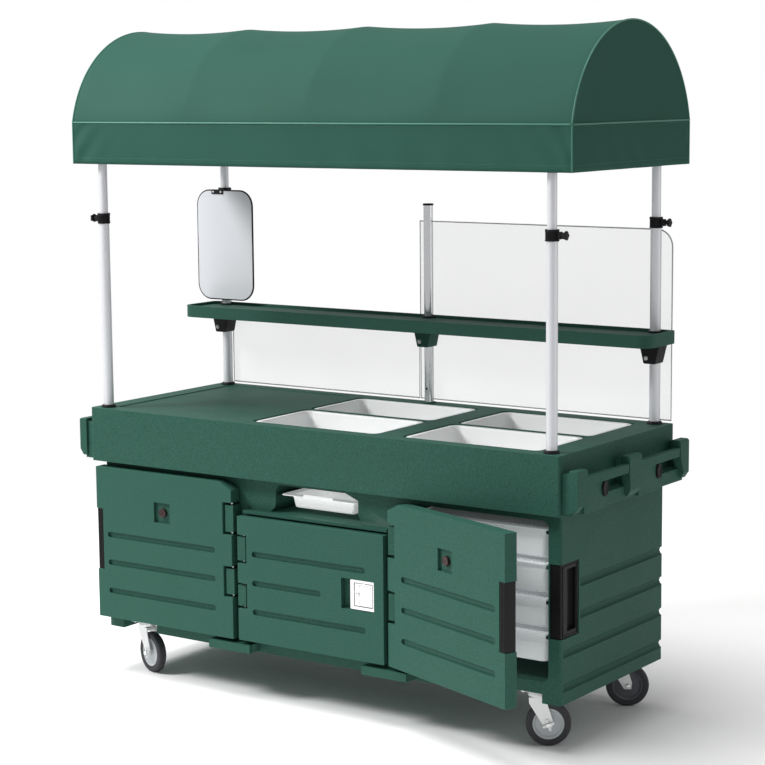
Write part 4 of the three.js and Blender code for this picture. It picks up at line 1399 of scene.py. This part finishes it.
def makeCover():
    look = canopyLook
    total = 2 * look["valance"] + archLength
    stations = sorted(set(spread(-coverHalf.x, coverHalf.x, look["columns"]) + hoopSpots))
    runs = spread(0.0, look["valance"], look["valanceRows"])
    runs += spread(look["valance"], look["valance"] + archLength, look["archRows"])[1:]
    runs += spread(look["valance"] + archLength, total, look["valanceRows"])[1:]
    shape = bmesh.new()
    uvLayer = shape.loops.layers.uv.new("UVMap")

    def sheetOf(grid, places):
        for i in range(len(grid) - 1):
            for j in range(len(grid[0]) - 1):
                corners = [(i, j), (i + 1, j), (i + 1, j + 1), (i, j + 1)]
                verts = [grid[a][b] for a, b in corners]
                face = shape.faces.new(verts)
                for loop, (a, b) in zip(face.loops, corners):
                    loop[uvLayer].uv = places[a][b]

    sheetOf([[shape.verts.new(coverPoint(x, run)) for run in runs] for x in stations],
            [[(x, run) for run in runs] for x in stations])
    archYs = [section(run)[0] for run in runs[look["valanceRows"]:len(runs) - look["valanceRows"]]]
    for side in (-1, 1):
        grid, places = [], []
        for y in archYs:
            count = look["valanceRows"]
            rows = [coverLow.z + look["valance"] * i / count for i in range(count + 1)]
            rise = archTop(y) - springZ
            steps = 24
            rows += [springZ + rise * i / steps for i in range(1, steps + 1)]
            grid.append([shape.verts.new(endPoint(side, y, z)) for z in rows])
            places.append([(y, z) for z in rows])
        sheetOf(grid, places)
    bmesh.ops.remove_doubles(shape, verts=shape.verts, dist=0.0004)
    bmesh.ops.dissolve_degenerate(shape, dist=1e-5, edges=shape.edges)
    bmesh.ops.recalc_face_normals(shape, faces=shape.faces)
    top = max(shape.faces, key=lambda f: f.calc_center_median().z)
    if top.normal.z < 0:
        bmesh.ops.reverse_faces(shape, faces=shape.faces)
    area = sum(f.calc_area() for f in shape.faces)
    mesh = asMesh(shape)
    mesh.polygons.foreach_set("use_smooth", [True] * len(mesh.polygons))
    mesh.set_sharp_from_angle(angle=math.radians(50))
    mesh = worked(mesh, ("SOLIDIFY", {"thickness": look["thickness"], "offset": -1.0}))
    return newPiece("canopy_cloth", mesh, clothGreen, "canopy", ["canopy_cover"], smooth=False), area


def coverLines():
    look = canopyLook
    stations = spread(-coverHalf.x, coverHalf.x, look["columns"])
    total = 2 * look["valance"] + archLength
    across = spread(-coverHalf.y, coverHalf.y, 64)

    def along(run, out):
        points = []
        for x in stations:
            spot = coverPoint(x, run)
            points.append(spot + Vector((0, -out if spot.y < coverY else out, 0)))
        return points

    def ends(side, z, out):
        return [endPoint(side, y, z) + Vector((side * out, 0, 0)) for y in across]

    return along, ends, total


def makeTrim():
    look = canopyLook
    along, ends, total = coverLines()
    shape = bmesh.new()
    out = 0.0008
    for run in (look["valance"], total - look["valance"]):
        bar(shape, along(run, out), look["piping"], 8)
    for side in (-1, 1):
        bar(shape, ends(side, springZ, out), look["piping"], 8)
        seam = [Vector((side * coverHalf.x, coverY + y, z)) for y, z, _,
                _ in (section(run) for run in spread(0.0, total, 140))]
        bar(shape, seam, look["piping"] * 0.9, 8)
    piping = newPiece("canopy_piping", asMesh(shape), pipingGreenPaintedHighlight, "canopy")
    lines = []
    for gap in (look["valance"] - look["stitchGap"], look["hem"]):
        lines += [along(gap, 0.0003), along(total - gap, 0.0003)]
        lines += [ends(side, coverLow.z + gap, 0.0003) for side in (-1, 1)]
    stitches = grown("canopy_stitches", "stitches", lines, "canopy", pipingGreenPaintedHighlight, lines=True,
                     Spacing=look["stitchSpacing"], Length=0.0052, Width=0.0012)
    return [piping, stitches]


# hoops, rails and the cross bars that sit on the posts
def makeCanopyFrame():
    look = canopyLook
    shape = bmesh.new()
    railY = coverHalf.y - look["railInset"]
    railZ = box("canopy_frame")[0].z + look["tube"]
    hoopRadius = math.hypot(railY, railZ - archCentreZ)
    start = math.atan2(railZ - archCentreZ, railY)
    for x in hoopSpots:
        turns = spread(start, math.pi - start, 40)
        bar(shape, [(x, coverY + hoopRadius * math.cos(t),
                     archCentreZ + hoopRadius * math.sin(t)) for t in turns], look["tube"], 16)
    for y in (-railY, railY):
        bar(shape, [(hoopSpots[0], coverY + y, railZ), (hoopSpots[-1], coverY + y, railZ)], look["tube"],
            16)
    postX = middle("upper_post_front_right").x
    for x in (-postX, postX):
        bar(shape, [(x, coverY - railY, railZ), (x, coverY + railY, railZ)], look["tube"], 16)
    return newPiece("canopy_hoops", shaded(shape, 60), hoopMetal, "canopy", ["canopy_frame"])


makeCanopyFrame()
cover, coverArea = makeCover()
trimPieces = makeTrim()
flatWidth = 2 * canopyLook["valance"] + archLength
print("canopy ready")


casterLook = {
    "tyre": [(0.053, -0.0150), (0.066, -0.0160), (0.0715, -0.0150), (0.0748, -0.0120), (0.076, -0.0070)],
    "core": [(0.0058, -0.0175), (0.0135, -0.0175), (0.0150, -0.0160), (0.0165, -0.0090),
             (0.0440, -0.0075), (0.0475, -0.0125), (0.0534, -0.0140)],
    "forkRound": 0.0012, "outside": 0.0276, "nutGap": 0.0042,
    "race": [(0.0275, 0.171), (0.031, 0.171), (0.034, 0.176), (0.034, 0.181), (0.030, 0.1885),
             (0.0275, 0.1885)],
    "leverTurns": (20, 110), "plateHeights": (0.1895, 0.1936), "plateBore": 0.0276, "plateCorner": 0.008,
    "armLength": 0.021, "armWidth": 0.0045, "plateHalf": (0.05, 0.042), "boltHead": 0.0055,
}


def mirroredProfile(half):
    return half + [(r, -h) for r, h in reversed(half)]


def makeCaster(corner):
    wheelName = "caster_wheel_" + corner
    centre = middle(wheelName)
    spin = joints["wheel_spin_" + corner]
    axis = Vector(spin["axis"])
    if axis.y > 0:
        axis = -axis
    place = facing(centre, axis)
    tyre = turned(mirroredProfile(casterLook["tyre"]), steps=56, closed=True)
    core = turned(mirroredProfile(casterLook["core"]), closed=True)
    body = "wheel_" + corner
    newPiece("tyre_" + corner, shaded(placed(tyre, place)), tyreDark, body, [wheelName])
    coreMaterial = coreGrey if "front" in corner else coreDark
    newPiece("wheel_core_" + corner, shaded(placed(core, place), 35), coreMaterial, body)
    fork = rounded("caster_fork_" + corner,
                   [(casterLook["forkRound"], 2, 30, lambda e: e.calc_length() > 0.006)])
    newPiece("fork_" + corner, fork, zincMetal, "caster_" + corner, ["caster_fork_" + corner])
    lever = bmesh.new()
    reach, half = casterLook["armLength"], casterLook["armWidth"]
    outside = casterLook["outside"]
    for turn in casterLook["leverTurns"]:
        arm = bmesh.new()
        rings = [roundedRing(0, 0, z, reach - inset, half - inset, half - inset - 0.0002, 5)
                 for inset, z in ((0.0006, outside + 0.0004), (0.0, outside + 0.001),
                                  (0.0, outside + 0.003), (0.0006, outside + 0.0036))]
        skin(arm, rings)
        bmesh.ops.transform(arm, matrix=Matrix.Rotation(math.radians(turn), 4, "Z"), verts=arm.verts)
        mesh = asMesh(arm)
        lever.from_mesh(mesh)
    pedal = "brake_pedal_" + corner
    if pedal in nodes:
        leverMesh = shaded(placed(lever, place))
        newPiece("brake_lever_" + corner, leverMesh, zincMetal, "brake_" + corner, [pedal])
    else:
        lever.free()
    nuts = bmesh.new()
    for sign in (1, -1):
        nut = turned([(0.0, 0.0), (0.0085, 0.0), (0.0085, 0.003), (0.007, 0.0042), (0.0, 0.0045)],
                     steps=6 if sign < 0 else 24)
        turn = Matrix.Identity(4) if sign > 0 else Matrix.Rotation(math.pi, 4, "X")
        bmesh.ops.transform(nut, matrix=Matrix.Translation((0, 0,
            sign * (outside + casterLook["nutGap"]))) @ turn, verts=nut.verts)
        mesh = asMesh(nut)
        nuts.from_mesh(mesh)
    newPiece("axle_nuts_" + corner, shaded(placed(nuts, place), 35), boltSteel, "caster_" + corner)
    swivel = Vector(joints["caster_swivel_" + corner]["pos_m"])
    race = turned(casterLook["race"],
           (swivel.x, swivel.y, 0), 40, closed=True)
    newPiece("swivel_race_" + corner, shaded(race, 35), zincMetal, "cart")
    halfX, halfY = casterLook["plateHalf"]
    plate = bmesh.new()
    under, top = casterLook["plateHeights"]
    bore = casterLook["plateBore"]
    rings = [roundedRing(swivel.x, swivel.y, z, halfX, halfY, casterLook["plateCorner"]) for z in (under,
        top)]
    inner = [roundedRing(swivel.x, swivel.y, z, bore, bore, bore - 0.0001) for z in (top, under)]
    skin(plate, rings + inner, loop=True)
    newPiece("caster_plate_" + corner, shaded(plate), zincMetal, "cart")
    spots = [(swivel.x + sx * (halfX - 0.012), swivel.y + sy * (halfY - 0.011), under) for sx in (-1,
        1) for sy in (-1, 1)]
    grown("caster_bolts_" + corner, "bolts", spots, "cart", boltSteel, Head=casterLook["boltHead"],
          Height=0.005,
          Turn=(math.pi, 0.0, 0.0))


for cornerName in cornerNames:
    makeCaster(cornerName)
print("casters ready")
